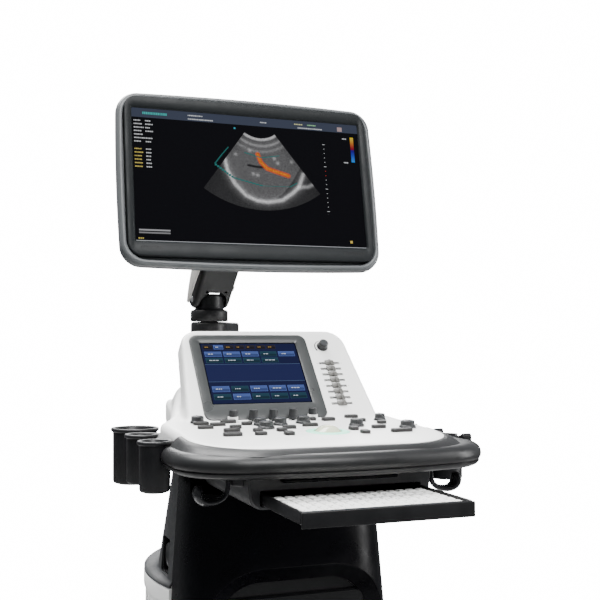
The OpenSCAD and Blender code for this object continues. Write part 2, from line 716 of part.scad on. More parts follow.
lift_arm();
head_block();
monitor_yoke();
monitor_rear_shell();
monitor_bezel();
lcd_panel();
monitor_cable();
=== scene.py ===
# Ultrasound machine: the looks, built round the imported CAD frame. Working lengths are millimetres.
import json
import math
import random

import bmesh
import bpy
from mathutils import Matrix, Vector


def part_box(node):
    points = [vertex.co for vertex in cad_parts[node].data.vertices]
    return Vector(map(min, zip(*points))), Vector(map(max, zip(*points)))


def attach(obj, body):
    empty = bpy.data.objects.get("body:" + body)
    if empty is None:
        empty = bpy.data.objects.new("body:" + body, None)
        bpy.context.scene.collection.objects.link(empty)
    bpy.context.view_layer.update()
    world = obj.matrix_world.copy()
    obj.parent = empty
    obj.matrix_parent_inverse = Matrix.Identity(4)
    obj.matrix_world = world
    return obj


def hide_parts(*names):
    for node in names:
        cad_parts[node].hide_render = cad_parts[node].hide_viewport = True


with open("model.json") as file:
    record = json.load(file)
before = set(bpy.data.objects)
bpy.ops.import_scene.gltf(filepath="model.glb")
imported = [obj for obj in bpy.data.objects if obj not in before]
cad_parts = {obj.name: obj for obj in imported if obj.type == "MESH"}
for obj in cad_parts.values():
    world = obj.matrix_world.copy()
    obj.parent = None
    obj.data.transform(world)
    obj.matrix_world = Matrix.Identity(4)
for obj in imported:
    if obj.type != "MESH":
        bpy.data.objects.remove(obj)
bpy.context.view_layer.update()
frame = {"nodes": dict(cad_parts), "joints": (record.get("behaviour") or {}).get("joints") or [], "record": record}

MM = 0.001
MIRROR_Y = Matrix.Scale(-1, 4, Vector((0, 1, 0)))
ACROSS = Matrix.Rotation(math.pi / 2, 4, "Y")  # lays a turned form's axis from side to side

# ---------------------------------------------------------------- places taken from the frame
JOINTS = {j["name"]: j for j in frame["joints"]}


def node_box(node):
    """Lowest and highest corner of a CAD node, in millimetres."""
    lo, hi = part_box(node)
    return lo / MM, hi / MM


def node_centre(node):
    low, high = node_box(node)
    return (low + high) / 2


def joint_point(name):
    return Vector(JOINTS[name]["pos_m"]) / MM


def frame_on(origin, tilt):
    """A local frame: X right, Y up the leaned plane, Z out of it; tilt is the lean back from the vertical."""
    return Matrix.Translation(origin) @ Matrix.Rotation(math.radians(90 - tilt), 4, "X")


TOUCH_TILT = 40.8
TOUCH_W, TOUCH_H = 170.9, 128.2
touch_lo, touch_hi = node_box("touch_screen")
touch_normal = Vector((0, -math.cos(math.radians(TOUCH_TILT)), math.sin(math.radians(TOUCH_TILT))))
TOUCH_C = (touch_lo + touch_hi) / 2 + touch_normal * 2.4
M_TOUCH = frame_on(TOUCH_C, TOUCH_TILT)

MON_TILT = 11.0
PIC_W, PIC_H = 409.8, 230.4
lcd_lo, lcd_hi = node_box("lcd_panel")
mon_normal = Vector((0, -math.cos(math.radians(MON_TILT)), math.sin(math.radians(MON_TILT))))
MON_C = (lcd_lo + lcd_hi) / 2 + mon_normal * 4.8
M_MON = frame_on(MON_C, MON_TILT)

DECK_SLOPE = math.radians(3.1)
DECK_Z = 840.0  # deck height at y = -75
PAN_Z = 786.0  # underside of the console
CUP_BOX_SHARE = 0.69  # half the side of a cup's stated box, as a share of its bore's radius


def deck_height(y):
    return DECK_Z + (y + 75) * math.tan(DECK_SLOPE)


def on_deck(x, y):
    return Matrix.Translation((x, y, deck_height(y))) @ Matrix.Rotation(DECK_SLOPE, 4, "X")


def on_touch(x, u):
    return M_TOUCH @ Matrix.Translation((x, u, 0))


# ---------------------------------------------------------------- camera, light, floor
def make_stage():
    scene = bpy.context.scene
    cam = bpy.data.objects.new("camera", bpy.data.cameras.new("camera"))
    scene.collection.objects.link(cam)
    yaw, pitch = math.radians(20.84), math.radians(2.03)
    look = Vector((math.sin(yaw) * math.cos(pitch), math.cos(yaw) * math.cos(pitch), math.sin(pitch)))
    cam.location = (-0.550, -1.578, 0.975)
    cam.rotation_euler = look.to_track_quat("-Z", "Y").to_euler()
    cam.data.sensor_width = 36
    cam.data.lens = 59.52
    cam.data.clip_start = 0.05
    scene.camera = cam

    make_world(scene)
    floor_mesh = bpy.data.meshes.new("floor")
    bm = bmesh.new()
    bmesh.ops.create_circle(bm, cap_ends=True, segments=96, radius=1.95)
    bm.to_mesh(floor_mesh)
    bm.free()
    floor = bpy.data.objects.new("floor", floor_mesh)
    scene.collection.objects.link(floor)
    floor.data.materials.append(plastic("floor_pale", (0.30, 0.30, 0.30), 0.85, wear=0.0, mottle=0.02))

    def area(name, place, target, size, power, colour=(1, 1, 1)):
        data = bpy.data.lights.new(name, "AREA")
        data.shape = "RECTANGLE"
        data.size, data.size_y = size
        data.energy = power
        data.color = colour
        lamp = bpy.data.objects.new(name, data)
        lamp.location = place
        lamp.rotation_euler = (Vector(target) - Vector(place)).to_track_quat("-Z", "Y").to_euler()
        scene.collection.objects.link(lamp)

    area("top_light", (-0.7, 0.7, 3.3), (0, 0, 0.8), (2.2, 1.8), 330)
    area("key_light", (0.1, -2.5, 3.4), (0, 0, 0.9), (1.6, 1.6), 215)
    area("right_strip", (2.3, -1.0, 1.3), (0, 0, 0.8), (0.5, 1.8), 60)
    area("rear_light", (0.8, 2.8, 2.2), (0, 0, 0.8), (1.8, 1.2), 70)


def make_world(scene):
    """A white backdrop behind the object, with dimmer surroundings that light it softly from above."""
    world = bpy.data.worlds.new("studio")
    scene.world = world
    world.use_nodes = True
    nodes, links = world.node_tree.nodes, world.node_tree.links
    soft = nodes["Background"]
    white = nodes.new("ShaderNodeBackground")
    white.inputs["Color"].default_value = (1, 1, 1, 1)
    white.inputs["Strength"].default_value = 16
    place = nodes.new("ShaderNodeTexCoord")
    split = nodes.new("ShaderNodeSeparateXYZ")
    links.new(place.outputs["Generated"], split.inputs["Vector"])
    rise = remap(nodes, links, split.outputs["Z"], 0.1, 0.7, -0.3, 0.8)
    soft.inputs["Color"].default_value = (0.93, 0.96, 1.0, 1)
    links.new(rise, soft.inputs["Strength"])
    path = nodes.new("ShaderNodeLightPath")
    choose = nodes.new("ShaderNodeMixShader")
    links.new(path.outputs["Is Camera Ray"], choose.inputs["Fac"])
    links.new(soft.outputs["Background"], choose.inputs[1])
    links.new(white.outputs["Background"], choose.inputs[2])
    links.new(choose.outputs["Shader"], nodes["World Output"].inputs["Surface"])


# ---------------------------------------------------------------- materials
def node_material(name):
    mat = bpy.data.materials.new(name)
    mat.use_nodes = True
    nodes, links = mat.node_tree.nodes, mat.node_tree.links
    return mat, nodes, links, nodes["Principled BSDF"]


def noise(nodes, links, scale, detail=2.0, coords=None):
    """A noise texture in the object's own metres; returns its factor output."""
    if coords is None:
        coords = nodes.new("ShaderNodeTexCoord").outputs["Object"]
    tex = nodes.new("ShaderNodeTexNoise")
    tex.inputs["Scale"].default_value = scale
    tex.inputs["Detail"].default_value = detail
    links.new(coords, tex.inputs["Vector"])
    return tex.outputs["Fac"]


def remap(nodes, links, value, low, high, from_low=0.3, from_high=0.7):
    span = nodes.new("ShaderNodeMapRange")
    span.inputs["From Min"].default_value = from_low
    span.inputs["From Max"].default_value = from_high
    span.inputs["To Min"].default_value = low
    span.inputs["To Max"].default_value = high
    links.new(value, span.inputs["Value"])
    return span.outputs["Result"]


def blend_colour(nodes, links, factor, a, b):
    """Mixes two colours; a and b are tuples or sockets."""
    mix = nodes.new("ShaderNodeMix")
    mix.data_type = "RGBA"
    links.new(factor, mix.inputs["Factor"])
    for value, socket in ((a, mix.inputs["A"]), (b, mix.inputs["B"])):
        if isinstance(value, tuple):
            socket.default_value = (*value, 1)
        else:
            links.new(value, socket)
    return mix.outputs["Result"]


def shade(colour, factor):
    return tuple(min(1.0, c * factor) for c in colour)


def plastic(name, colour, rough, grain=1400, bump=0.12, wear=0.06, mottle=0.06, coat=0.0, gloss=0.5):
    """Moulded plastic: faint cloudiness, spark-eroded grain, uneven gloss and paler rubbed edges."""
    mat, nodes, links, bsdf = node_material(name)
    coords = nodes.new("ShaderNodeTexCoord").outputs["Object"]
    cloud = remap(nodes, links, noise(nodes, links, 9, 3, coords), 0, 1)
    body = blend_colour(nodes, links, cloud, shade(colour, 1 - mottle), shade(colour, 1 + mottle / 2))
    worn = nodes.new("ShaderNodeNewGeometry").outputs["Pointiness"]
    edge = remap(nodes, links, worn, 0, wear, 0.52, 0.62)
    pale = tuple(c + (0.6 - c) * 0.1 for c in colour)
    links.new(blend_colour(nodes, links, edge, body, pale), bsdf.inputs["Base Color"])
    smear = remap(nodes, links, noise(nodes, links, 28, 4, coords), rough - 0.06, rough + 0.07)
    links.new(smear, bsdf.inputs["Roughness"])
    relief = nodes.new("ShaderNodeBump")
    relief.inputs["Strength"].default_value = bump
    relief.inputs["Distance"].default_value = 0.0002
    links.new(noise(nodes, links, grain, 1, coords), relief.inputs["Height"])
    links.new(relief.outputs["Normal"], bsdf.inputs["Normal"])
    bsdf.inputs["Specular IOR Level"].default_value = gloss
    bsdf.inputs["Coat Weight"].default_value = coat
    bsdf.inputs["Coat Roughness"].default_value = 0.12
    return mat


def metal(name, colour, rough, brushed=60.0):
    """Brushed or coated metal: fine streaks along Z in colour, gloss and relief."""
    mat, nodes, links, bsdf = node_material(name)
    coords = nodes.new("ShaderNodeTexCoord").outputs["Object"]
    stretch = nodes.new("ShaderNodeMapping")
    stretch.inputs["Scale"].default_value = (brushed, brushed, brushed / 12)
    links.new(coords, stretch.inputs["Vector"])
    streak = noise(nodes, links, 14, 3, stretch.outputs["Vector"])
    factor = remap(nodes, links, streak, 0, 1)
    links.new(blend_colour(nodes, links, factor, shade(colour, 0.86), shade(colour, 1.08)),
              bsdf.inputs["Base Color"])
    links.new(remap(nodes, links, streak, rough - 0.07, rough + 0.09), bsdf.inputs["Roughness"])
    bsdf.inputs["Metallic"].default_value = 0.9
    relief = nodes.new("ShaderNodeBump")
    relief.inputs["Strength"].default_value = 0.15
    relief.inputs["Distance"].default_value = 0.0002
    links.new(streak, relief.inputs["Height"])
    links.new(relief.outputs["Normal"], bsdf.inputs["Normal"])
    return mat


def lit_colours(name, strength, speck=2500, low=0.86, gloss=0.0):
    """A lit display: emission taken from the mesh's own face colours, times a fine grain."""
    mat, nodes, links, bsdf = node_material(name)
    paint = nodes.new("ShaderNodeVertexColor")
    paint.layer_name = "paint"
    grain = remap(nodes, links, noise(nodes, links, speck, 1), low, 1.0, 0.36, 0.64)
    dim = nodes.new("ShaderNodeMix")
    dim.data_type = "RGBA"
    dim.blend_type = "MULTIPLY"
    dim.inputs["Factor"].default_value = 1.0
    links.new(paint.outputs["Color"], dim.inputs["A"])
    links.new(grain, dim.inputs["B"])
    links.new(dim.outputs["Result"], bsdf.inputs["Emission Color"])
    bsdf.inputs["Emission Strength"].default_value = strength
    bsdf.inputs["Base Color"].default_value = (0.002, 0.002, 0.0025, 1)
    bsdf.inputs["Specular IOR Level"].default_value = gloss
    bsdf.inputs["Roughness"].default_value = 0.25
    return mat


def glowing(name, colour, strength, rough=0.4):
    """A lit translucent ring: brighter and dimmer stretches round a soft glow."""
    mat, nodes, links, bsdf = node_material(name)
    factor = remap(nodes, links, noise(nodes, links, 60, 2), 0, 1)
    tint = blend_colour(nodes, links, factor, shade(colour, 0.8), colour)
    links.new(tint, bsdf.inputs["Base Color"])
    links.new(tint, bsdf.inputs["Emission Color"])
    bsdf.inputs["Emission Strength"].default_value = strength
    bsdf.inputs["Roughness"].default_value = rough
    return mat


def make_materials():
    made = {
        "white": plastic("white_moulded", (0.80, 0.80, 0.785), 0.36, wear=0.02, mottle=0.02, bump=0.06),
        "light_grey": plastic("light_grey_moulded", (0.075, 0.080, 0.083), 0.34, gloss=0.35, bump=0.08,
                              mottle=0.03),
        "bezel_grey": plastic("touch_bezel_grey", (0.030, 0.032, 0.032), 0.32, gloss=0.4, bump=0.08,
                              mottle=0.05),
        "slate": plastic("monitor_slate", (0.0048, 0.0062, 0.0070), 0.45, gloss=0.14, grain=2200, bump=0.25),
        "rail": plastic("rail_soft_grey", (0.007, 0.0072, 0.0076), 0.4, gloss=0.32, grain=1800, bump=0.15),
        "panel": plastic("side_panel_grey", (0.028, 0.029, 0.030), 0.42, grain=1600, bump=0.3),
        "dark": plastic("dark_moulded", (0.0040, 0.0040, 0.0045), 0.42, gloss=0.22, grain=1500, bump=0.2),
        "black": plastic("cover_black", (0.0016, 0.0015, 0.0024), 0.30, grain=900, bump=0.04, gloss=0.07),
        "cup": plastic("cup_black", (0.0050, 0.0050, 0.0058), 0.38, grain=1500, bump=0.15, gloss=0.25),
        "gloss": plastic("hook_gloss_black", (0.016, 0.016, 0.018), 0.25, bump=0.03, gloss=0.3),
        "knob": plastic("knob_blue_grey", (0.0085, 0.0094, 0.0103), 0.42, grain=2400, bump=0.3),
        "knob_top": plastic("knob_cap_grey", (0.030, 0.032, 0.034), 0.35, grain=2400, bump=0.15),
        "key": plastic("key_brown_grey", (0.0055, 0.0050, 0.0047), 0.45, grain=2600, bump=0.3),
        "slider": plastic("slider_cap_grey", (0.09, 0.087, 0.08), 0.42, bump=0.15),
        # dark plastic for print, screw heads and the side recess, and painted shade in holes, behind vents and
        # along slider slots
        "slot": plastic("slot_dark", (0.003, 0.003, 0.0033), 0.6, bump=0.1, gloss=0.2),
        "keycap": plastic("keycap_white", (0.74, 0.74, 0.72), 0.5, grain=2600, bump=0.3, wear=0.02,
                          mottle=0.03),
        "ball": plastic("ball_cream", (0.5, 0.53, 0.38), 0.15, bump=0.02, coat=0.5),
        "rubber": plastic("tyre_rubber", (0.012, 0.012, 0.013), 0.6, grain=900, bump=0.5),
        # the dark plastic lightened for the keyboard housing: painted light where the rail's shadow falls
        "housing": plastic("housing_grey_painted_lit", (0.022, 0.0225, 0.024), 0.45, grain=1500, bump=0.2, gloss=0.35),
        "mat": plastic("footrest_rubber", (0.012, 0.0125, 0.0135), 0.65, grain=700, bump=0.5),
        "cable": plastic("cable_sheath", (0.003, 0.003, 0.0033), 0.45, grain=1200, bump=0.2),
        "arm": plastic("arm_dark_grey", (0.0065, 0.0067, 0.0072), 0.42, gloss=0.32, grain=1800, bump=0.2),
        "arm_white": plastic("arm_cover_white", (0.4, 0.39, 0.37), 0.4, wear=0.02, bump=0.08),
        "socket": plastic("socket_pale", (0.12, 0.124, 0.128), 0.45, bump=0.1),
        "caster": metal("caster_satin_metal", (0.30, 0.31, 0.33), 0.38),
        "aluminium": metal("brushed_aluminium", (0.5, 0.51, 0.53), 0.3),
        "steel": metal("chassis_steel", (0.08, 0.08, 0.085), 0.55, 20),
        "pin": metal("pin_steel", (0.45, 0.45, 0.46), 0.25, 90),
        "display": lit_colours("display_lit", 1.0),
        "scan": lit_colours("scan_sector", 1.15, 1100, 0.35),
        "ring": glowing("ring_green", (0.25, 0.75, 0.52), 0.9),
    }
    return made


# ---------------------------------------------------------------- mesh helpers
def arc(cx, cy, r, start, end, steps=8):
    """Points on an arc, angles in degrees."""
    return [
        (cx + r * math.cos(math.radians(start + (end - start) * i / steps)),
         cy + r * math.sin(math.radians(start + (end - start) * i / steps)))
        for i in range(steps + 1)
    ]


def fillet(corners, steps=8):
    """A closed outline from (x, y, radius) corners, anticlockwise, with each corner rounded."""
    points = []
    count = len(corners)
    for i, (x, y, r) in enumerate(corners):
        here = Vector((x, y))
        back = (Vector(corners[i - 1][:2]) - here).normalized()
        ahead = (Vector(corners[(i + 1) % count][:2]) - here).normalized()
        half = back.angle(ahead) / 2
        reach = r / math.tan(half)
        centre = here + (back + ahead).normalized() * (r / math.sin(half))
        start, end = here + back * reach - centre, here + ahead * reach - centre
        sweep = start.angle_signed(end)
        for k in range(steps + 1):
            spoke = start.copy()
            spoke.rotate(Matrix.Rotation(-sweep * k / steps, 2))
            points.append((centre + spoke)[:])
    return points


def rect(w, d, r, cx=0.0, cy=0.0, steps=8):
    hx, hy = w / 2, d / 2
    return fillet([(cx + hx, cy + hy, r), (cx - hx, cy + hy, r), (cx - hx, cy - hy, r),
                   (cx + hx, cy - hy, r)], steps)


def spread(points, step):
    """Adds points along the long edges of an outline."""
    out = []
    for a, b in zip(points, points[1:] + points[:1]):
        parts = max(1, int(math.dist(a, b) / step))
        out += [(a[0] + (b[0] - a[0]) * k / parts, a[1] + (b[1] - a[1]) * k / parts) for k in range(parts)]
    return out


def inset(points, amount):
    """Moves a closed anticlockwise outline inwards."""
    out = []
    for i, p in enumerate(points):
        a, b = Vector(points[i - 1]), Vector(points[(i + 1) % len(points)])
        along = (b - a).normalized()
        out.append((p[0] - along.y * amount, p[1] + along.x * amount))
    return out


def turns(count):
    """Angles of equal steps round a full circle."""
    return [2 * math.pi * k / count for k in range(count)]


def circle(r, z, count, matrix):
    return [matrix @ Vector((r * math.cos(a), r * math.sin(a), z)) for a in turns(count)]


def over(point):
    """Shift to a point's place in plan, at height 0."""
    return Matrix.Translation((point.x, point.y, 0))


def loop3(points, z):
    return [Vector((x, y, z)) for x, y in points]


def skin(bm, loops, close_ends=True, closed=True):
    """Quads between loops of equal length; the end loops get caps."""
    rows = [[bm.verts.new(p) for p in loop] for loop in loops]
    n = len(rows[0])
    last = n if closed else n - 1
    for a, b in zip(rows, rows[1:]):
        for i in range(last):
            j = (i + 1) % n
            bm.faces.new((a[i], a[j], b[j], b[i]))
    if close_ends:
        bm.faces.new(list(reversed(rows[0])))
        bm.faces.new(rows[-1])
    return rows


def ring_skin(bm, loops):
    """A tube wall whose last loop joins back to its first, such as a frame round an opening."""
    rows = [[bm.verts.new(p) for p in loop] for loop in loops]
    n = len(rows[0])
    for a, b in zip(rows, rows[1:] + rows[:1]):
        for i in range(n):
            j = (i + 1) % n
            bm.faces.new((a[i], a[j], b[j], b[i]))


def lathe(bm, profile, steps=48, matrix=Matrix.Identity(4)):
    """Turns (radius, height) points round Z; points on the axis close the form."""
    rows = []
    for r, z in profile:
        if r < 1e-6:
            rows.append([bm.verts.new(matrix @ Vector((0, 0, z)))])
        else:
            rows.append([bm.verts.new(p) for p in circle(r, z, steps, matrix)])
    for a, b in zip(rows, rows[1:]):
        for i in range(steps):
            j = (i + 1) % steps
            if len(a) == 1 and len(b) > 1:
                bm.faces.new((a[0], b[j], b[i]))
            elif len(b) == 1 and len(a) > 1:
                bm.faces.new((a[i], a[j], b[0]))
            elif len(a) > 1:
                bm.faces.new((a[i], a[j], b[j], b[i]))
    if len(rows[0]) > 1 and len(rows[-1]) > 1 and (rows[0][0].co - rows[-1][0].co).length > 1e-4:
        bm.faces.new(list(reversed(rows[0])))
        bm.faces.new(rows[-1])


def lathe_ring(bm, profile, steps, matrix):
    """Turns a closed profile round Z, as for a tyre or a hub with a bore."""
    ring_skin(bm, [circle(r, z, steps, matrix) for r, z in profile])


def tube(bm, path, radius, sides=12, taper=None):
    """A round tube along a list of points."""
    loops = []
    up = Vector((0.13, 0.21, 0.97)).normalized()
    for i, p in enumerate(path):
        ahead = Vector(path[min(i + 1, len(path) - 1)]) - Vector(path[max(i - 1, 0)])
        side = ahead.cross(up).normalized()
        over = side.cross(ahead).normalized()
        r = radius * (taper(i / (len(path) - 1)) if taper else 1)
        loops.append([Vector(p) + (side * math.cos(a) + over * math.sin(a)) * r
                      for a in turns(sides)])
    skin(bm, loops)


def prism(bm, outline, z0, z1, matrix=Matrix.Identity(4)):
    skin(bm, [[matrix @ p for p in loop3(outline, z)] for z in (z0, z1)])


def pillow(bm, outline, z0, z1, edge, matrix=Matrix.Identity(4), foot=0.0, steps=4):
    """A prism on an outline with a rounded top rim; foot rounds the lower rim too."""
    levels = []
    if foot:
        levels += [(foot * (1 - math.sin(a)), z0 + foot * (1 - math.cos(a)))
                   for a in (math.pi / 2 * i / steps for i in range(steps + 1))]
    else:
        levels.append((0.0, z0))
    levels += [(edge * (1 - math.cos(a)), z1 - edge * (1 - math.sin(a)))
               for a in (math.pi / 2 * i / steps for i in range(steps + 1))]
    skin(bm, [[matrix @ p for p in loop3(inset(outline, amount), z)] for amount, z in levels])


def along_y(points, y):
    return [Vector((x, y, z)) for x, z in points]


def across(bm, outline, *places):
    """A solid that runs from side to side on a (y, z) outline."""
    skin(bm, [[Vector((x, y, z)) for y, z in outline] for x in places])


def bar(bm, outline, *depths):
    """A solid that runs from front to back on an (x, z) outline."""
    skin(bm, [along_y(outline, y) for y in depths])


def piece(name, bm, material, body, nodes=(), bevel=0.0, sharp=38):
    """Turns a bmesh in millimetres into a shown piece that rides on a body and stands for CAD nodes."""
    bmesh.ops.remove_doubles(bm, verts=bm.verts, dist=0.002)
    bmesh.ops.recalc_face_normals(bm, faces=bm.faces)
    bmesh.ops.scale(bm, vec=(MM, MM, MM), verts=bm.verts)
    mesh = bpy.data.meshes.new(name)
    bm.to_mesh(mesh)
    bm.free()
    ob = bpy.data.objects.new(name, mesh)
    bpy.context.scene.collection.objects.link(ob)
    mesh.materials.append(MATERIALS[material])
    mesh.shade_smooth()
    if bevel:
        cut = ob.modifiers.new("rounded edges", "BEVEL")
        cut.width = bevel * MM
        cut.segments = 3
        cut.limit_method = "ANGLE"
        cut.angle_limit = math.radians(sharp)
        cut.harden_normals = True
    else:
        mesh.set_sharp_from_angle(angle=math.radians(sharp))
    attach(ob, body)
    if nodes:
        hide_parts(*nodes)
    return ob


def paint(bm_face, layer, colour):
    for loop in bm_face.loops:
        loop[layer] = (*colour, 1)


def take_result(ob):
    """Replaces an object's mesh by what its shown modifiers make of it."""
    graph = bpy.context.evaluated_depsgraph_get()
    result = bpy.data.meshes.new_from_object(ob.evaluated_get(graph), depsgraph=graph)
    old = ob.data
    ob.data = result
    bpy.data.meshes.remove(old)
    result.shade_smooth()
    result.set_sharp_from_angle(angle=math.radians(38))


def apply_modifiers(ob):
    bpy.context.view_layer.update()
    take_result(ob)
    ob.modifiers.clear()


def round_off(ob):
    """Rounds a coarse swept form with subdivision, applied to its mesh."""
    modifier = ob.modifiers.new("round", "SUBSURF")
    modifier.levels = modifier.render_levels = 1
    apply_modifiers(ob)


def cut_with(ob, cutter_bm):
    """Cuts wells into a piece's mesh with a closed cutter; the piece's own modifiers stay live."""
    bmesh.ops.recalc_face_normals(cutter_bm, faces=cutter_bm.faces)
    bmesh.ops.scale(cutter_bm, vec=(MM, MM, MM), verts=cutter_bm.verts)
    mesh = bpy.data.meshes.new("cutter")
    cutter_bm.to_mesh(mesh)
    cutter_bm.free()
    cutter = bpy.data.objects.new("cutter", mesh)
    bpy.context.scene.collection.objects.link(cutter)
    hidden = list(ob.modifiers)
    for modifier in hidden:
        modifier.show_viewport = False
    cut = ob.modifiers.new("wells", "BOOLEAN")
    cut.object = cutter
    cut.operation = "DIFFERENCE"
    cut.solver = "EXACT"
    bpy.context.view_layer.update()
    take_result(ob)
    ob.modifiers.remove(cut)
    for modifier in hidden:
        modifier.show_viewport = True
    bpy.data.objects.remove(cutter)


def islands(node, matrix):
    """Boxes (low, high) of a CAD node's separate solids, in the given frame, in millimetres."""
    bm = bmesh.new()
    bm.from_mesh(frame["nodes"][node].data)
    bmesh.ops.remove_doubles(bm, verts=bm.verts, dist=1e-6)
    back = matrix.inverted()
    seen, boxes = set(), []
    for start in bm.verts:
        if start in seen:
            continue
        seen.add(start)
        stack, group = [start], []
        while stack:
            v = stack.pop()
            group.append(back @ (v.co / MM))
            for edge in v.link_edges:
                other = edge.other_vert(v)
                if other not in seen:
                    seen.add(other)
                    stack.append(other)
        low = Vector(min(p[i] for p in group) for i in range(3))
        high = Vector(max(p[i] for p in group) for i in range(3))
        boxes.append((low, high))
    bm.free()
    return sorted(boxes, key=lambda b: (round(b[0].y, 1), b[0].x))


M_DECK = on_deck(0, 0)


# ---------------------------------------------------------------- console shell and rail
def deck_outline(grow=0.0):
    left, right, front = -207 - grow, 188 + grow, -333 - grow
    return fillet([(right, front, 100), (right, -70, 12), (172 + grow, 0, 30), (150 + grow, 100, 30),
                   (124 + grow, 250, 22), (-124 - grow, 250, 22), (-150 - grow, 100, 30),
                   (-172 - grow, 0, 30), (left, -70, 12), (left, front, 100)], 12)


def make_console_shell():
    """One moulded shell: deck, panel housing and rear hump joined and softened, then the wells cut."""
    ob = piece("console_shell_white", shell_form(), "white", "console", ["console_shell"])
    for kind, settings in (("REMESH", {"mode": "VOXEL", "voxel_size": 0.003}),
                           ("SMOOTH", {"factor": 0.5, "iterations": 9})):
        modifier = ob.modifiers.new(kind.lower(), kind)
        for key, value in settings.items():
            setattr(modifier, key, value)
    apply_modifiers(ob)
    cut_with(ob, shell_wells())


def shell_form():
    """Deck, leaned panel housing and rear hump as three overlapping solids, before they are joined."""
    bm = bmesh.new()
    outline = spread(deck_outline(), 12)
    levels = [(0, 40), (0, 9)] + [(9 * (1 - math.cos(a)), 9 * (1 - math.sin(a))) for a in
                                  (math.pi / 2 * i / 5 for i in range(1, 6))]
    loops = []
    for amount, drop in levels:
        loops.append([Vector((x, y, max(812, deck_height(y) - drop))) for x, y in inset(outline, amount)])
    skin(bm, loops)
    slab = fillet([(197.7, -112, 2), (177.7, 95, 34), (-112.3, 95, 30), (-132.3, -112, 2)], 8)
    pillow(bm, spread(slab, 12), -41, 0, 7, M_TOUCH, foot=6)
    profile = ((-66, 197, 839, 6), (-40, 192, 841, 10), (-18, 184, 848, 16), (4, 176, 866, 24),
               (28, 166, 888, 28), (60, 158, 892, 30), (110, 147, 891, 30), (160, 138, 880, 28),
               (205, 130, 866, 26), (236, 125, 855, 22), (248, 118, 842, 14))
    sections = []
    for y, half, top, r in profile:
        right = min(half, 172 - 16 * y / 70)
        corners = [(right, 813, 2), (right - 7, top, r), (-half + 7, top, r), (-half, 813, 2)]
        sections.append(along_y(fillet(corners, 8), y))
    skin(bm, sections)
    return bm


def shell_wells():
    """Wells for the keys, the trackball, the slider slots, the encoders and the touch panel's bezel."""
    cutter = bmesh.new()
    for low, high in islands("deck_keys", M_DECK):
        middle, size = (low + high) / 2, high - low
        outline = rect(size.x + 0.8, size.y + 0.8, 4, middle.x, middle.y, 4)
        prism(cutter, outline, -2.6, 12, M_DECK)
    lathe(cutter, [(33, 12), (33, -1.2), (27, -3.0), (24, -22), (0, -30)], 48, on_deck(*ball_place()[:2]))
    for i in range(8):
        low, high = islands(f"tgc_slider_{i + 1}", M_TOUCH)[0]
        u = (low.y + high.y) / 2
        x = (low.x + high.x) / 2
        prism(cutter, rect(38, 2.8, 1.3, x, u, 4), -7, 8, M_TOUCH)
    for low, high in islands("menu_encoders", M_DECK):
        middle = (low + high) / 2
        place = M_DECK @ over(middle)
        lathe(cutter, [(0, -18), (3, -18), (3, -0.6), (8, -0.6), (8, 8), (0, 8)], 32, place)
    low, high = islands("touch_bezel", M_TOUCH)[0]
    centre, size = (low + high) / 2, high - low
    prism(cutter, rect(size.x + 0.6, size.y + 0.6, 14, centre.x, centre.y), -8, 9, M_TOUCH)
    return cutter


def ball_place():
    """Centre of the trackball on the deck, as deck x and y, and its depth below the surface."""
    low, high = islands("trackball", M_DECK)[0]
    middle = (low + high) / 2
    on = M_DECK @ Vector((middle.x, middle.y, 0))
    return on.x, on.y, middle.z


def rail_path(amount):
    """Plan of the hand rail from its right rear end round the front to its left rear end."""
    half, corner, side = 234 - amount, 100 - amount, 134
    right = [(half, -197), (half, -225)] + arc(side, -253, corner, 0, -78, 14)
    bow = []
    for k in range(1, 24):
        x = 112 - 224 * k / 24
        bow.append((x, -368 + 620 - math.sqrt(620 ** 2 - x ** 2) + amount))
    left = [(-x, y) for x, y in reversed(right)]
    return right + bow + left


def flank_path(grow):
    """Plan of the deck's edge from its left side round the front to its right side."""
    outline = deck_outline(grow)
    return [(outline[-13][0], -196)] + outline[-13:] + outline[:13] + [(outline[12][0], -196)]


def make_hand_rail():
    """Soft grip swept round the deck's front, with a groove under its widest line."""
    profile = [(50, 816.5), (22, 817.8), (15, 818), (8.5, 816.6), (3.6, 813.2), (0.9, 808.4), (0, 803.4),
               (0.9, 798.6), (2.6, 796.2), (4.4, 795.2), (4.6, 794.4), (3.0, 793.6), (3.2, 791.6),
               (6.0, 788.4), (11, 786.3), (18, PAN_Z), (50, PAN_Z)]
    bm = bmesh.new()
    paths = [rail_path(amount) for amount, _ in profile]
    loops = [[Vector((*paths[i][k], z)) for i, (_, z) in enumerate(profile)] for k in range(len(paths[0]))]
    skin(bm, loops)
    piece("hand_rail", bm, "rail", "console", ["console_base"], sharp=50)


def make_rail_flank():
    """Slope between the deck's edge and the rail."""
    bm = bmesh.new()
    flank = [(-3, 0), (0.3, 0), (2.5, 0.06), (6, 0.25), (10, 0.55), (13, 0.85), (15, 1), (-3, 1)]
    around, falls = [flank_path(grow) for grow, _ in flank], [fall for _, fall in flank]
    loops = []
    for k in range(len(around[0])):
        top = deck_height(around[1][k][1]) - 2.0
        loops.append([Vector((*plan[k], top + (816.5 - top) * fall)) for plan, fall in zip(around, falls)])
    skin(bm, loops)
    piece("rail_flank", bm, "rail", "console", sharp=50)


def make_console_pan():
    """Floor pan under the deck and the dark seam above it, both with a well for the trackball."""
    bm = bmesh.new()
    pillow(bm, spread(deck_outline(-3.5), 30), PAN_Z, 817.5, 1, foot=5)
    pan = piece("console_pan", bm, "rail", "console")
    bm = bmesh.new()
    prism(bm, deck_outline(-1.2), 815, 819.2)
    seam = piece("shell_seam", bm, "dark", "console")
    x, y, _ = ball_place()
    for ob in (pan, seam):
        cutter = bmesh.new()
        lathe(cutter, [(0, 789), (28, 789), (28, 835), (0, 835)], 48, Matrix.Translation((x, y, 0)))
        cut_with(ob, cutter)


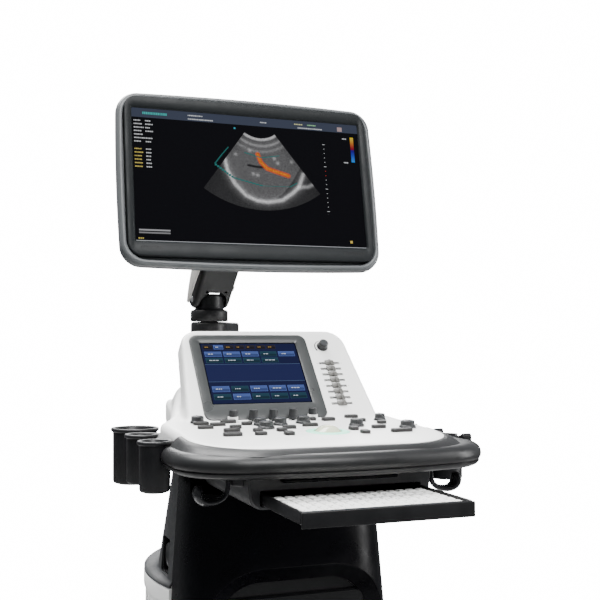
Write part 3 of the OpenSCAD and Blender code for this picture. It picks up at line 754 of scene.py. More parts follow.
def make_column_skirt():
    """Collar between the console and the column's top."""
    bm = bmesh.new()
    skirt = fillet([(150, -69.5, 8), (150, BEND, 40), (92, REAR + 8, 8), (-92, REAR + 8, 8), (-150, BEND, 40),
                    (-150, -69.5, 8)])
    prism(bm, skirt, 769.5, PAN_Z + 1)
    prism(bm, rect(170, 104, 30, 0, 300), PAN_Z, PAN_Z + 6)
    piece("column_skirt", bm, "dark", "console", bevel=1.5)


# ---------------------------------------------------------------- touch panel
BLUE, TEAL, NAVY = (0.08, 0.13, 0.38), (0.016, 0.055, 0.085), (0.010, 0.014, 0.058)
GOLD, DUSK, PALE = (0.5, 0.3, 0.06), (0.022, 0.020, 0.03), (0.75, 0.8, 0.9)


def slip(bm, layer, x0, y0, x1, y1, colour, matrix, z, thick=0.12):
    """A thin closed coloured plate on a plane."""
    verts = [bm.verts.new(matrix @ Vector((x, y, h))) for h in (z, z + thick) for x, y in
             ((x0, y0), (x1, y0), (x1, y1), (x0, y1))]
    for ring in ((3, 2, 1, 0), (4, 5, 6, 7), (0, 1, 5, 4), (1, 2, 6, 5), (2, 3, 7, 6), (3, 0, 4, 7)):
        face = bm.faces.new([verts[i] for i in ring])
        paint(face, layer, colour)


def button(bm, layer, cx, cy, w, h, colour, marks, seed, ink=PALE):
    """A lit button: darker lower half, bright upper half, and small marks that stand for its caption."""
    left, right, low, high = cx - w / 2, cx + w / 2, cy - h / 2, cy + h / 2
    slip(bm, layer, left, low, right, high, shade(colour, 1.9), M_TOUCH, -0.40)
    slip(bm, layer, left + 0.4, low + 0.4, right - 0.4, cy, shade(colour, 0.55), M_TOUCH, -0.36)
    slip(bm, layer, left + 0.4, cy, right - 0.4, high - 0.4, colour, M_TOUCH, -0.36)
    dice = random.Random(seed)
    x = cx - w * 0.3
    for _ in range(marks):
        long = dice.uniform(0.06, 0.18) * w
        slip(bm, layer, x, cy - 0.7, x + long, cy + 0.8, ink, M_TOUCH, -0.30)
        x += long + w * 0.04


def make_touch_bezel():
    """Grey frame round the touch screen, sloping down to the glass."""
    low, high = islands("touch_bezel", M_TOUCH)[0]
    centre, size = (low + high) / 2, high - low
    outer = rect(size.x, size.y, 14, centre.x, centre.y, 10)
    window = rect(TOUCH_W, TOUCH_H, 1.5, 0, 0, 10)
    bm = bmesh.new()
    rim = inset(outer, 1.6)
    fall = rect(TOUCH_W + 7, TOUCH_H + 7, 4, 0, 0, 10)
    loops = [(outer, -6.6), (outer, 0.8), (inset(outer, 0.5), 1.6), (rim, 2.0), (fall, 2.0), (window, 0.1),
             (window, -0.35), (fall, -0.6), (fall, -6.6)]
    ring_skin(bm, [[M_TOUCH @ p for p in loop3(o, z)] for o, z in loops])
    piece("touch_bezel_grey", bm, "bezel_grey", "console", ["touch_bezel"], sharp=50)


def make_touch_picture():
    """Lit touch screen: a row of tabs and four rows of buttons on navy."""
    bm = bmesh.new()
    layer = bm.loops.layers.float_color.new("paint")
    w, h = TOUCH_W / 2, TOUCH_H / 2
    slip(bm, layer, -w - 2.6, -h - 2.6, w + 2.6, h + 2.6, (0.002, 0.003, 0.01), M_TOUCH, -4.2, 3.3)
    slip(bm, layer, -w + 2, -h + 2, w - 2, h - 2, NAVY, M_TOUCH, -0.55)
    slip(bm, layer, -w + 2, -h + 46, w - 2, h - 46, shade(NAVY, 1.5), M_TOUCH, -0.48)
    for u in (-h + 46, h - 46):
        slip(bm, layer, -w + 2, u - 0.3, w - 2, u + 0.3, (0.1, 0.16, 0.3), M_TOUCH, -0.42)
    for i in range(7):
        button(bm, layer, -w + 13 + i * 18.6, h - 9, 16.6, 9, BLUE if i == 1 else DUSK, 2, i,
               PALE if i == 1 else GOLD)
    for i in range(5):
        button(bm, layer, -w + 20 + i * 32.4, h - 24, 29, 10.5, TEAL if i == 3 else BLUE, 2, 10 + i)
    for i in range(4):
        button(bm, layer, -w + 20 + i * 32.4, h - 37.5, 29, 10.5, TEAL, 3, 20 + i)
    for i in range(5):
        button(bm, layer, -w + 20 + i * 32.4, -h + 31, 29, 11.5, TEAL if i == 1 else BLUE, 3, 30 + i)
        button(bm, layer, -w + 20 + i * 32.4, -h + 15, 29, 11.5, BLUE if i == 1 else TEAL, 2, 40 + i)
    piece("touch_picture", bm, "display", "console", ["touch_screen"])


def make_slider_shade_and_ticks():
    """Painted shade along both edges of each slider slot, to darken and widen it; a printed tick at every fourth.
    """
    bm = bmesh.new()
    for i in range(8):
        low, high = islands(f"tgc_slider_{i + 1}", M_TOUCH)[0]
        middle = (low + high) / 2
        for side in (-1, 1):
            # painted shade: dark strips just outside the slot's edges
            prism(bm, rect(38, 0.7, 0.3, middle.x, middle.y + side * 1.75, 2), -0.5, 0.22, M_TOUCH)
            if i % 4 == 0:
                prism(bm, rect(1.6, 0.5, 0.2, middle.x + side * 22.5, middle.y, 2), 0.02, 0.12, M_TOUCH)
    piece("slider_shade_and_ticks", bm, "slot", "console")


def make_gain_knob():
    """Knob beside the touch screen, with its printed arc."""
    low, high = islands("gain_knob", M_TOUCH)[0]
    middle = (low + high) / 2
    bm = bmesh.new()
    knob_body(bm, (high.x - low.x) / 2, 12, on_touch(middle.x, middle.y))
    piece("gain_knob_turned", bm, "knob", "gain", ["gain_knob"], bevel=0.4)
    bm = bmesh.new()
    pointer(bm, (high.x - low.x) / 2, 12, on_touch(middle.x, middle.y))
    piece("gain_pointer", bm, "knob_top", "gain")
    bm = bmesh.new()
    sweep = [M_TOUCH @ Vector((*p, 0.15)) for p in arc(middle.x, middle.y, 13.5, 100, 215, 16)]
    tube(bm, sweep, 0.9, 6, lambda t: 0.35 + 0.9 * t)
    piece("gain_arc", bm, "slot", "console")


def make_slider_caps():
    """Eight ridged slider caps, each with a stem in its slot."""
    for i in range(8):
        low, high = islands(f"tgc_slider_{i + 1}", M_TOUCH)[0]
        middle = (low + high) / 2
        bm = bmesh.new()
        w, h = (high.x - low.x) / 2 + 1, (high.y - low.y) / 2 + 0.6
        sections = [(-w, 1.6), (-w * 0.8, 3.0), (-w * 0.35, 4.6), (0, 8.0), (w * 0.35, 4.6), (w * 0.8, 3.0),
                    (w, 1.6)]
        loops = []
        for x, top in sections:
            at = Matrix.Translation((middle.x + x, middle.y, 0))
            loops.append([M_TOUCH @ at @ Vector((0, y, z)) for y, z in
                          ((-h, 0.5), (h, 0.5), (h, 0.5 + top * 0.6), (h * 0.45, 0.5 + top * 0.9),
                           (-h * 0.45, 0.5 + top * 0.9), (-h, 0.5 + top * 0.6))])
        skin(bm, loops)
        prism(bm, rect(4.6, 2.2, 0.6, middle.x, middle.y, 3), -5.8, 1.5, M_TOUCH)
        piece(f"slider_cap_{i + 1}", bm, "slider", f"tgc_{i + 1}", [f"tgc_slider_{i + 1}"],
              bevel=0.4)


def make_encoders():
    """Five ribbed encoders at the foot of the touch panel."""
    for i, (low, high) in enumerate(islands("menu_encoders", M_DECK)):
        middle = (low + high) / 2
        bm = bmesh.new()
        at = M_DECK @ over(middle)
        ribbed(bm, 6.9, 1.4, high.z + 1.8, 24, 0.35, at)
        lathe(bm, [(2.4, -6.8), (2.4, 3)], 20, at)
        piece(f"encoder_{i + 1}", bm, "knob", "encoders", ["menu_encoders"], bevel=0.35)


def ribbed(bm, r, z0, z1, ribs, depth, matrix):
    """A knob body with shallow grip ribs and a dished rounded top."""
    count = ribs * 4

    def row(radius, z, wave):
        return [matrix @ Vector((math.cos(a) * (radius - wave * (0.5 - 0.5 * math.cos(ribs * a))),
                                 math.sin(a) * (radius - wave * (0.5 - 0.5 * math.cos(ribs * a))), z))
                for a in turns(count)]

    h = z1 - z0
    skin(bm, [row(r, z0, 0), row(r, z0 + h * 0.12, 0), row(r * 0.985, z0 + h * 0.16, depth),
              row(r * 0.965, z1 - h * 0.16, depth), row(r * 0.95, z1 - h * 0.08, 0),
              row(r * 0.90, z1 - h * 0.01, 0), row(r * 0.84, z1, 0), row(r * 0.78, z1 - h * 0.03, 0),
              row(r * 0.3, z1 - h * 0.06, 0)])


def knob_body(bm, r, height, matrix):
    """A control knob: flared foot, ribbed waist and a rounded top."""
    flare = [(r * 0.6, 0.6), (r * 1.1, 0.6), (r * 1.1, 1.8), (r * 1.02, 3.4), (r * 0.92, 4.6)]
    lathe(bm, [(2.9, -6.8), (2.9, 0.6), *flare], 48, matrix)
    ribbed(bm, r * 0.94, 2.6, height, 20, 0.45, matrix)


def pointer(bm, r, height, matrix):
    """A paler cap let into a knob's top, with a small raised line that shows its setting."""
    lathe(bm, [(0, height - 1), (r * 0.72, height - 1), (r * 0.72, height), (r * 0.66, height + 0.5),
               (0, height + 0.7)], 40, matrix)
    at = matrix @ Matrix.Translation((0, r * 0.4, height + 0.5))
    prism(bm, rect(1.2, r * 0.5, 0.5, 0, 0, 3), 0, 0.5, at)


# ---------------------------------------------------------------- deck controls
DECK_KNOB_TALL = 11


def make_deck_keys():
    """Domed keys that stand in the deck's wells."""
    for i, (low, high) in enumerate(islands("deck_keys", M_DECK)):
        middle, size = (low + high) / 2, high - low
        bm = bmesh.new()
        corner = min(size.x, size.y) * 0.38
        outline = spread(rect(size.x + 1.2, size.y + 1.0, corner, middle.x, middle.y, 6), 3)
        top = high.z + 1.4
        levels = [(0, -1.0), (0, top - 1.5), (0.5, top - 0.6), (1.3, top - 0.1), (2.4, top),
                  (3.2, top - 0.25)]
        skin(bm, [[M_DECK @ p for p in loop3(inset(outline, amount), z)] for amount, z in levels])
        piece(f"deck_key_{i + 1}", bm, "key", "deck_keys", ["deck_keys"], sharp=45)


def make_deck_knobs():
    """Eight knobs with paler caps."""
    for i in range(8):
        low, high = islands(f"deck_knob_{i + 1}", M_DECK)[0]
        middle = (low + high) / 2
        at = M_DECK @ over(middle)
        r = (high.x - low.x) / 2
        bm = bmesh.new()
        knob_body(bm, r, DECK_KNOB_TALL, at)
        piece(f"knob_{i + 1}_turned", bm, "knob", f"knob_{i + 1}", [f"deck_knob_{i + 1}"],
              bevel=0.4)
        bm = bmesh.new()
        pointer(bm, r, DECK_KNOB_TALL, at)
        piece(f"knob_{i + 1}_pointer", bm, "knob_top", f"knob_{i + 1}")


def make_trackball():
    """Ball in the lit ring round its well."""
    x, y, depth = ball_place()
    place = on_deck(x, y)
    bm = bmesh.new()
    r = 25.4
    lathe(bm, [(r * math.sin(a), depth + r * math.cos(a)) for a in (math.pi * k / 40 for k in range(41))],
          80, place)
    piece("trackball_polished", bm, "ball", "ball", ["trackball"], sharp=80)
    bm = bmesh.new()
    ring = [(21.3, 1.1), (23.5, 1.7), (27, 1.5), (31, 0.6), (32.4, -0.3), (32.4, -1.0), (26.6, -2.6),
            (25.9, -4), (22.4, -1.2)]
    lathe_ring(bm, ring, 64, place)
    piece("trackball_ring", bm, "ring", "console", sharp=50)


# ---------------------------------------------------------------- cups, rack and hooks
def openings(word):
    """The record's stated hollows whose name holds a word: centre and size of each, in millimetres."""
    found = []
    for o in frame["record"]["physics"]["openings"]:
        if word in o["name"]:
            lo, hi = (Vector(c) / MM for c in o["box_m"])
            found.append(((lo + hi) / 2, hi - lo))
    return found


def make_left_cups():
    """Three closed cups on a bar along the deck's left side."""
    rim = 824
    for i, (middle, size) in enumerate(openings("left_cup")):
        inner = size.x / 2 / CUP_BOX_SHARE
        r = inner + 3.5
        floor = middle.z - size.z / 2 - 3.5
        bm = bmesh.new()
        at = over(middle)
        lathe(bm, [(0, floor), (r - 7, floor), (r - 2.5, floor + 1.6), (r - 0.8, floor + 5),
                   (r - 0.3, rim - 12), (r, rim - 6.5), (r + 2.4, rim - 5.2), (r + 3, rim - 3.6),
                   (r + 3, rim - 1.4), (r + 2, rim - 0.2), (r + 0.4, rim), (r - 2.2, rim - 0.3),
                   (inner, rim - 1.6), (inner, floor + 9), (inner - 4, floor + 4), (0, floor + 3.2)], 56, at)
        piece(f"cup_left_{i + 1}", bm, "cup", "console", ["cup_holder_left"], sharp=45)
    bm = bmesh.new()
    prism(bm, fillet([(-150, 72, 4), (-236, 72, 12), (-238, -186, 12), (-150, -188, 4)]), 794, 811)
    cup_bar = piece("cup_bar", bm, "cup", "console")
    cutter = bmesh.new()
    prism(cutter, deck_outline(-2), 780, 830)
    for middle, size in openings("left_cup"):
        r = size.x / 2 / CUP_BOX_SHARE + 1
        lathe(cutter, [(0, 780), (r, 780), (r, 830), (0, 830)], 48, over(middle))
    cut_with(cup_bar, cutter)


def make_right_cups():
    """Three slotted cups on a plate, each with a prong outside its slot."""
    rim = 812
    for i, (middle, _) in enumerate(openings("right_cup")):
        at = over(middle)
        r = 26
        bm = bmesh.new()
        wall = [(r, 742.5), (r, rim - 6), (r + 3, rim - 4.5), (r + 3, rim - 1), (r + 1, rim),
                (r - 2, rim - 0.4), (r - 3, rim - 2), (r - 3, 745), (3, 743.5), (3, 741), (r - 2, 741)]
        rows = []
        for a in (math.radians(19 + 322 * k / 60) for k in range(61)):
            rows.append([at @ Vector((d * math.cos(a), d * math.sin(a), z)) for d, z in wall])
        skin(bm, rows)
        piece(f"cup_right_{i + 1}", bm, "cup", "console", ["probe_rack_right"], bevel=0.8)
        bm = bmesh.new()
        prong = [(middle.y - 34, 771), (middle.y - 22, 771), (middle.y - 22, 806), (middle.y - 27, 815.5),
                 (middle.y - 31, 815.5), (middle.y - 34, 812)]
        across(bm, prong, middle.x + 13, middle.x + 28.5)
        piece(f"rack_prong_{i + 1}", bm, "cup", "console", bevel=1.4)
    bm = bmesh.new()
    prism(bm, fillet([(242, -192, 10), (250, 84, 10), (150, 86, 4), (150, -194, 4)]), 793, 807)
    plate = piece("rack_plate", bm, "cup", "console")
    cutter = bmesh.new()
    prism(cutter, deck_outline(-2), 780, 830)
    for middle, _ in openings("right_cup"):
        lathe(cutter, [(0, 780), (24, 780), (24, 830), (0, 830)], 48, over(middle))
    cut_with(plate, cutter)


def make_hooks():
    """Cable hooks under the rail: a swept bar that swells towards its tip."""
    for s, name in ((-1, "hook_left"), (1, "hook_right")):
        low, high = node_box("cable_hooks")
        y = (low.y + high.y) / 2
        path = [(157, 783), (156, 773), (156.5, 763), (160, 755), (167, 750), (177, 747.5), (187, 747.5),
                (195, 751), (199, 757.5), (199.5, 765), (196, 771)]
        bm = bmesh.new()
        rows = []
        for k, (x, z) in enumerate(path):
            a, b = Vector(path[max(k - 1, 0)]), Vector(path[min(k + 1, len(path) - 1)])
            along = (b - a).normalized()
            out = Vector((-along.y, along.x))
            swell = (0.6, 0.55, 0.55, 0.6, 0.7, 0.8, 0.95, 1.1, 1.15, 1.1, 0.75)[k]
            rows.append([Vector((s * (x + out.x * 6 * swell * math.cos(t)), y + 11.5 * swell * math.sin(t),
                                 z + out.y * 6 * swell * math.cos(t))) for t in turns(20)])
        skin(bm, rows)
        ob = piece(name, bm, "gloss", "console", ["cable_hooks"], sharp=60)
        round_off(ob)


# ---------------------------------------------------------------- keyboard
def make_keyboard_housing():
    """Housing under the console with the tray's slot, and its side flanges."""
    bm = bmesh.new()
    low, high = node_box("keyboard_housing")
    face = fillet([(134, 738.5, 20), (140, PAN_Z, 4), (-140, PAN_Z, 4), (-134, 738.5, 20)], 8)
    slot = rect(2 * 121.5, 22, 3, 0, 754)
    front, back = low.y + 0.5, high.y
    outer = [along_y(face, y) for y in (front + 3, back)]
    skin(bm, [along_y(inset(face, 3), front), *outer])
    # housing and flanges use the dark plastic lightened, painted light against the rail's shadow
    housing = piece("keyboard_housing_shell", bm, "housing", "console", ["keyboard_housing"])
    cutter = bmesh.new()
    bar(cutter, slot, front - 9, back - 8)
    cut_with(housing, cutter)
    bm = bmesh.new()
    for s in (-1, 1):
        cheek = [(s * 138, -283), (s * 152, -270), (s * 152, -74), (s * 138, -70)]
        if s < 0:
            cheek.reverse()
        prism(bm, cheek, 768, PAN_Z)
    piece("housing_flanges", bm, "housing", "console", bevel=3)


def make_keyboard_tray():
    """Tray with a rounded front lip, the bed of the keys and two rows of holes behind them as painted shade."""
    low, high = node_box("keyboard_tray")
    x, front, back, base = high.x, low.y, high.y, low.z
    bm = bmesh.new()
    plan = fillet([(x, front, 7), (x, back, 2), (-x, back, 2), (-x, front, 7)], 6)
    inner = fillet([(x - 4, front + 6.5, 2), (x - 4, back - 2, 2), (-x + 4, back - 2, 2),
                    (-x + 4, front + 6.5, 2)], 6)
    rows = [loop3(inset(plan, 1.5), base), loop3(plan, base + 1.5), loop3(plan, high.z - 2.0),
            loop3(inset(plan, 1.4), high.z - 0.4), loop3(inset(plan, 2.6), high.z - 0.2),
            loop3(inner, high.z - 1.2), loop3(inner, base + 6.5)]
    skin(bm, rows)
    piece("keyboard_tray_moulded", bm, "dark", "tray", ["keyboard_tray"], sharp=42)
    bm = bmesh.new()
    pillow(bm, rect(2 * x, 4.2, 2, 0, front - 0.4, 5), base - 4, high.z - 1, 1.2, foot=1.5)
    piece("tray_lip", bm, "dark", "tray", sharp=45)
    key_boxes = islands("keyboard_keys", Matrix.Identity(4))
    last = max(b[1].y for b in key_boxes)
    bm = bmesh.new()
    bed = rect(228, last - front - 6, 3, 0, (front + 7 + last + 4) / 2)
    prism(bm, bed, base + 6, key_boxes[0][0].z + 1.2)
    piece("keyboard_bed", bm, "keycap", "tray", bevel=0.5)
    # painted shade: dark patches that stand for the holes
    bm = bmesh.new()
    for k in range(28):
        for row in range(2):
            prism(bm, rect(4.6, 1.4, 0.6, -108 + 8 * k, last + 14 + 7 * row, 3), base + 6, base + 7.2)
    piece("tray_hole_shade", bm, "slot", "tray")


def make_keyboard_caps():
    """Dished caps, and a small mark on each narrow one."""
    key_boxes = islands("keyboard_keys", Matrix.Identity(4))
    top = key_boxes[0][1].z
    bm = bmesh.new()
    for lo, hi in key_boxes:
        w, d = hi.x - lo.x, hi.y - lo.y
        cx, cy = (lo.x + hi.x) / 2, (lo.y + hi.y) / 2
        skin(bm, [loop3(rect(w, d, 1.5, cx, cy, 3), lo.z), loop3(rect(w, d, 1.5, cx, cy, 3), lo.z + 2),
                  loop3(rect(w - 2.2, d - 3.2, 1.8, cx, cy + 0.4, 3), top - 0.5),
                  loop3(rect(w - 3.4, d - 4.6, 1.5, cx, cy + 0.4, 3), top - 0.05),
                  loop3(rect(w - 7, d - 9, 1.2, cx, cy + 0.4, 3), top - 0.5)])
    piece("keyboard_caps", bm, "keycap", "keys", ["keyboard_keys"], sharp=30)
    bm = bmesh.new()
    dice = random.Random(3)
    for lo, hi in key_boxes:
        if hi.x - lo.x > 30:
            continue
        cx, cy = (lo.x + hi.x) / 2, (lo.y + hi.y) / 2
        w = dice.uniform(1.2, 3.4)
        prism(bm, rect(w, 2.0, 0.5, cx - 2.2, cy + 3, 2), top - 0.6, top - 0.32)
    piece("key_marks", bm, "slider", "keys")


def make_release_paddle():
    """Squeeze bar above the tray."""
    low, high = node_box("release_paddle")
    bm = bmesh.new()
    plan = rect(high.x - low.x, 11.5, 5, (low.x + high.x) / 2, low.y + 5.75)
    pillow(bm, plan, low.z, low.z + 5, 1.8, foot=1.5)
    prism(bm, rect(high.x - low.x - 10, 4.5, 1.5, (low.x + high.x) / 2, high.y - 2.3), low.z + 4, high.z)
    piece("release_paddle_bar", bm, "black", "paddle", ["release_paddle"], sharp=45)


# ---------------------------------------------------------------- column and base
COLUMN = ((190, 176, -178), (400, 176, -168), (480, 176, -155.5), (569, 172, -141.5), (768, 159, -113))
REAR, BEND = 300, 88


def column_at(z, field):
    """Half width (1) or front face (2) of the column at a height."""
    for a, b in zip(COLUMN, COLUMN[1:]):
        if z <= b[0]:
            t = max(0.0, (z - a[0]) / (b[0] - a[0]))
            return a[field] + (b[field] - a[field]) * t
    return COLUMN[-1][field]


def smooth_column(z, field):
    """The column's outline with its corners averaged over a stretch of height."""
    return sum(column_at(min(768, max(190, z + d * 40 / 3)), field) for d in range(-3, 4)) / 7


def cover_section(z, shrink=0.0):
    """Plan of the front cover at a height, from one side round its bowed front to the other."""
    steps, back = 28, -8.0
    half = smooth_column(z, 1) - shrink
    deep = back - smooth_column(z, 2) - shrink
    power = 2 / 3.3
    points = []
    for k in range(steps + 1):
        a = math.pi * k / steps
        c, s = math.cos(a), math.sin(a)
        points.append(Vector((half * math.copysign(abs(c) ** power, c), back - deep * abs(s) ** power, z)))
    return points


def bay_outline(grow=0.0):
    half, top, low = 151 + grow, 619 + grow, 330 - grow
    return fillet([(half, low, 60), (half, top, 95), (-half, top, 95), (-half, low, 60)], 12)


def make_front_cover():
    """Glossy cover bowed round the column's front, with the arched bay cut through it."""
    bm = bmesh.new()
    heights = [190 + (766 - 190) * k / 30 for k in range(31)]
    rows = []
    for z in heights:
        rows.append(cover_section(z) + list(reversed(cover_section(z, 4))))
    skin(bm, rows)
    cover = piece("front_cover_gloss", bm, "black", "cart", ["front_cover"])
    cutter = bmesh.new()
    bar(cutter, bay_outline(), -230, -60)
    prism(cutter, rect(312, 192, 2, 0, -104), 730, 790)
    cut_with(cover, cutter)


def make_port_bay():
    """Rolled edge of the bay, its back wall and the block of probe sockets."""
    bm = bmesh.new()
    rows = []
    for amount, back in ((-1.5, 0.0), (1, 0.6), (3, 3), (26, 26)):
        row = []
        for x, z in inset(spread(bay_outline(), 14), amount):
            surface = cover_at(x, z)
            row.append(Vector((x, min(surface + 0.6 + back, -104.0 if amount > 20 else -96.0), z)))
        rows.append(row)
    rows.append([Vector((p.x, -99, p.z)) for p in rows[-1]])
    rows.append([Vector((p.x, -97, p.z)) for p in rows[0]])
    ring_skin(bm, rows)
    piece("bay_surround", bm, "black", "cart", ["port_panel"], sharp=45)
    bm = bmesh.new()
    bar(bm, bay_outline(-1), -99.5, -95)
    piece("bay_back", bm, "dark", "cart")
    sockets = openings("probe_socket")
    left = min(m.x - s.x / 2 for m, s in sockets)
    bottom = min(m.z - s.z / 2 for m, s in sockets)
    right = max(m.x + s.x / 2 for m, s in sockets)
    top = max(m.z + s.z / 2 for m, s in sockets)
    bm = bmesh.new()
    outer = rect(right - left + 36, top - bottom + 32, 14, 0, (top + bottom) / 2 + 8)
    skin(bm, [along_y(outer, -98), along_y(outer, -103), along_y(inset(outer, 2.5), -106)])
    block = piece("socket_block", bm, "dark", "cart")
    cutter = bmesh.new()
    for m, s in sockets:
        bar(cutter, rect(36, 94, 5, m.x, m.z), -110, -99.5)
    cut_with(block, cutter)
    make_sockets(sockets, bottom)


def make_sockets(sockets, bottom):
    """A frame, two columns of contacts and a latch for each socket."""
    for i, (m, _) in enumerate(sockets):
        bm = bmesh.new()
        frame_outline = rect(37.5, 95.5, 6, m.x, m.z)
        hole = rect(30, 86, 4, m.x, m.z)
        ring_skin(bm, [along_y(frame_outline, -102), along_y(frame_outline, -107.4),
                       along_y(inset(frame_outline, 1.2), -108.4), along_y(inset(hole, -1), -108.4),
                       along_y(hole, -107), along_y(hole, -102)])
        piece(f"socket_frame_{i + 1}", bm, "socket", "cart", sharp=50)
        bm = bmesh.new()
        bar(bm, rect(20, 70, 2, m.x, m.z), -97.5, -101.5)
        for row in range(12):
            for side in (-1, 1):
                bar(bm, rect(5, 3, 0.8, m.x + side * 4.5, m.z - 30 + row * 5.4, 2), -101, -102.4)
        piece(f"socket_contacts_{i + 1}", bm, "socket", "cart")
        bm = bmesh.new()
        bar(bm, rect(7, 16, 3, m.x, bottom - 6), -103, -107.6)
        piece(f"socket_latch_{i + 1}", bm, "light_grey", "cart", bevel=1)


def make_sides():
    for s, name in ((-1, "left"), (1, "right")):
        make_side_panel(s, name)
        make_side_recess(s, name)
        make_side_shell(s, name)


def drum_half(y):
    """Half width of the rounded drum under the side panels."""
    return 189 * math.sqrt(max(0.0, 1 - ((y - 90) / (270 if y < 90 else 250)) ** 2))


def panel_half(y, z):
    """Outer face of a side panel: straight at first, then turned in towards the rear round a soft bend."""
    reach = 24
    bend = BEND + 20 - 75 * (z - 569) / 199
    past = y - (bend - reach)
    slope = (REAR - BEND) * math.tan(math.radians(19)) / (REAR - bend)
    if past <= 0:
        turned = 0.0
    elif past < 2 * reach:
        turned = slope * past ** 2 / (4 * reach)
    else:
        turned = slope * (past - reach)
    return smooth_column(z, 1) - turned


def foot(y, z):
    """Panel face with its foot flared out over the drum: a rounded rim under a hollow slope."""
    rise = z - 570
    tall = 7 + 5 * min(1.0, max(0.0, (y - 55) / 60))
    t = min(1.0, max(0.0, (rise - 3) / tall))
    share = (1 - t ** 1.6) ** 1.9
    x = panel_half(y, z)
    return x + (drum_half(y) - 0.4 - x) * share


def mirrored(rows, s):
    return [[Vector((s * p.x, p.y, p.z)) for p in row] for row in rows]


def make_side_panel(s, name):
    """Upper side panel with its flared foot, and the hole for the recess."""
    depths = [-6 + (REAR - 6.5 - (-6)) * k / 44 for k in range(45)]
    heights = [569.8, 571, 573, 574.4, 575.6, 577, 578.5, 580, 582, 584.5, 587, 590, 594, 599, 605]
    heights += [605 + (766 - 605) * k / 14 for k in range(1, 15)]
    rows = []
    for z in heights:
        outer = [Vector((foot(y, z), y, z)) for y in depths]
        rows.append(outer + [Vector((p.x - 4.5, p.y, p.z)) for p in reversed(outer)])
    bm = bmesh.new()
    skin(bm, mirrored(rows, s))
    panel = piece(f"side_panel_{name}_cover", bm, "panel", "cart", [f"side_panel_{name}"],
                  sharp=50)
    cutter = bmesh.new()
    slot_outline = rect(49, 60, 5, 47, 611)
    across(cutter, slot_outline, s * 140, s * 200)
    cut_with(panel, cutter)


def make_side_recess(s, name):
    """Square recess in the side panel with a round disc in it."""
    bm = bmesh.new()
    ring_outline, hole = rect(53, 64, 7, 47, 611), rect(46, 57, 4, 47, 611)
    x0 = smooth_column(611, 1)
    across(bm, ring_outline, s * (x0 - 18), s * (x0 - 14))
    ring_skin(bm, [[Vector((s * x, y, z)) for y, z in o] for o, x in
                   ((ring_outline, x0 - 16), (ring_outline, x0 - 4.2), (hole, x0 - 2.8), (hole, x0 - 16))])
    piece(f"recess_{name}", bm, "slot", "cart", bevel=0.5)
    bm = bmesh.new()
    turn = Matrix.Translation((s * (x0 - 15), 47, 611)) @ Matrix.Rotation(s * math.pi / 2, 4, "Y")
    lathe(bm, [(0, 0), (20, 0), (21, 1.5), (21, 8), (19.5, 10), (17.5, 10.6), (16.5, 9.2), (0, 8.6)], 48,
          turn)
    piece(f"recess_disc_{name}", bm, "knob", "cart", sharp=50)


def make_side_shell(s, name):
    """Rounded lower shell with upright vents and a dark sheet behind them, painted shade for what shows through.
    """
    depths = [-7.3 + (REAR - 7.8 - (-7.3)) * k / 40 for k in range(41)]
    rows = []
    section = ((190, -3), (196, -1.2), (206, 0), (380, 0), (540, 0), (542.5, 0.4), (543.5, 2.6), (546, 3),
               (566, 3), (568.4, 2.2), (569.3, 0.4))
    for z, step in section:
        outer = [Vector((drum_half(y) - 3 + step, y, z)) for y in depths]
        rows.append(outer + [Vector((p.x - 4.5, p.y, p.z)) for p in reversed(outer)])
    bm = bmesh.new()
    skin(bm, mirrored(rows, s))
    shell = piece(f"side_shell_{name}_white", bm, "white", "cart", [f"side_shell_{name}"],
                  sharp=40)
    cutter = bmesh.new()
    for k in range(10):
        y = 23 + 22 * k
        outline = rect(6.5, 285, 3.2, y, 392.5, 4)
        x = drum_half(y)
        across(cutter, outline, s * (x - 18), s * (x + 6))
    cut_with(shell, cutter)
    # painted shade: a dark sheet behind the vent slots
    depths = [8 + 232 * k / 24 for k in range(25)]
    rows = []
    for z in (244, 541):
        outer = [Vector((drum_half(y) - 9, y, z)) for y in depths]
        rows.append(outer + [Vector((p.x - 2, p.y, p.z)) for p in reversed(outer)])
    bm = bmesh.new()
    skin(bm, mirrored(rows, s))
    piece(f"vent_shade_sheet_{name}", bm, "slot", "cart")


def make_rear():
    def plate(outline, name, material, nodes):
        bm = bmesh.new()
        skin(bm, [along_y(outline, REAR + 0.2), along_y(outline, REAR + 2.4),
                  along_y(inset(outline, 1.6), REAR + 4)])
        return piece(name, bm, material, "cart", nodes)

    plate(fillet([(99, 570.3, 2), (85, 767, 5), (-85, 767, 5), (-99, 570.3, 2)], 5), "rear_upper_cover",
          "panel", ["rear_cover"])
    lower = fillet([(104, 190, 3), (104, 569.3, 5), (-104, 569.3, 5), (-104, 190, 3)], 5)
    rear = plate(lower, "rear_lower_cover", "white", [])
    cutter = bmesh.new()
    ends = (REAR - 4, REAR + 10)
    for k in range(9):
        bar(cutter, rect(160, 8, 3.8, 0, 324 + 20 * k, 4), *ends)
    bar(cutter, rect(32, 22, 3, -30, 249, 3), *ends)
    cut_with(rear, cutter)
    # painted shade: a dark sheet behind the rear vent slots
    bm = bmesh.new()
    bar(bm, rect(176, 190, 5, 0, 404), REAR - 6, REAR - 3)
    piece("rear_vent_shade_sheet", bm, "slot", "cart")
    bm = bmesh.new()
    hole = rect(28, 19, 4, -30, 249)
    flange = rect(46, 30, 3, -30, 249)
    ring_skin(bm, [along_y(o, REAR + y) for o, y in ((flange, 1), (flange, 5.4), (hole, 5.4), (hole, -6))])
    bar(bm, rect(31, 21, 2, -30, 249), REAR - 10, REAR - 6)
    for dx in (-7, 0, 7):
        bar(bm, rect(2, 5, 0.6, -30 + dx, 249 + (3 if dx == 0 else -2), 2), REAR - 7, REAR)
    piece("mains_inlet_socket", bm, "dark", "cart", bevel=0.4)


def cover_at(x, z):
    """Front surface of the column's cover at a place seen from the front."""
    half, deep = smooth_column(z, 1), -8 - smooth_column(z, 2)
    share = min(1.0, abs(x) / half)
    return -8 - deep * (1 - share ** 3.3) ** (1 / 3.3)


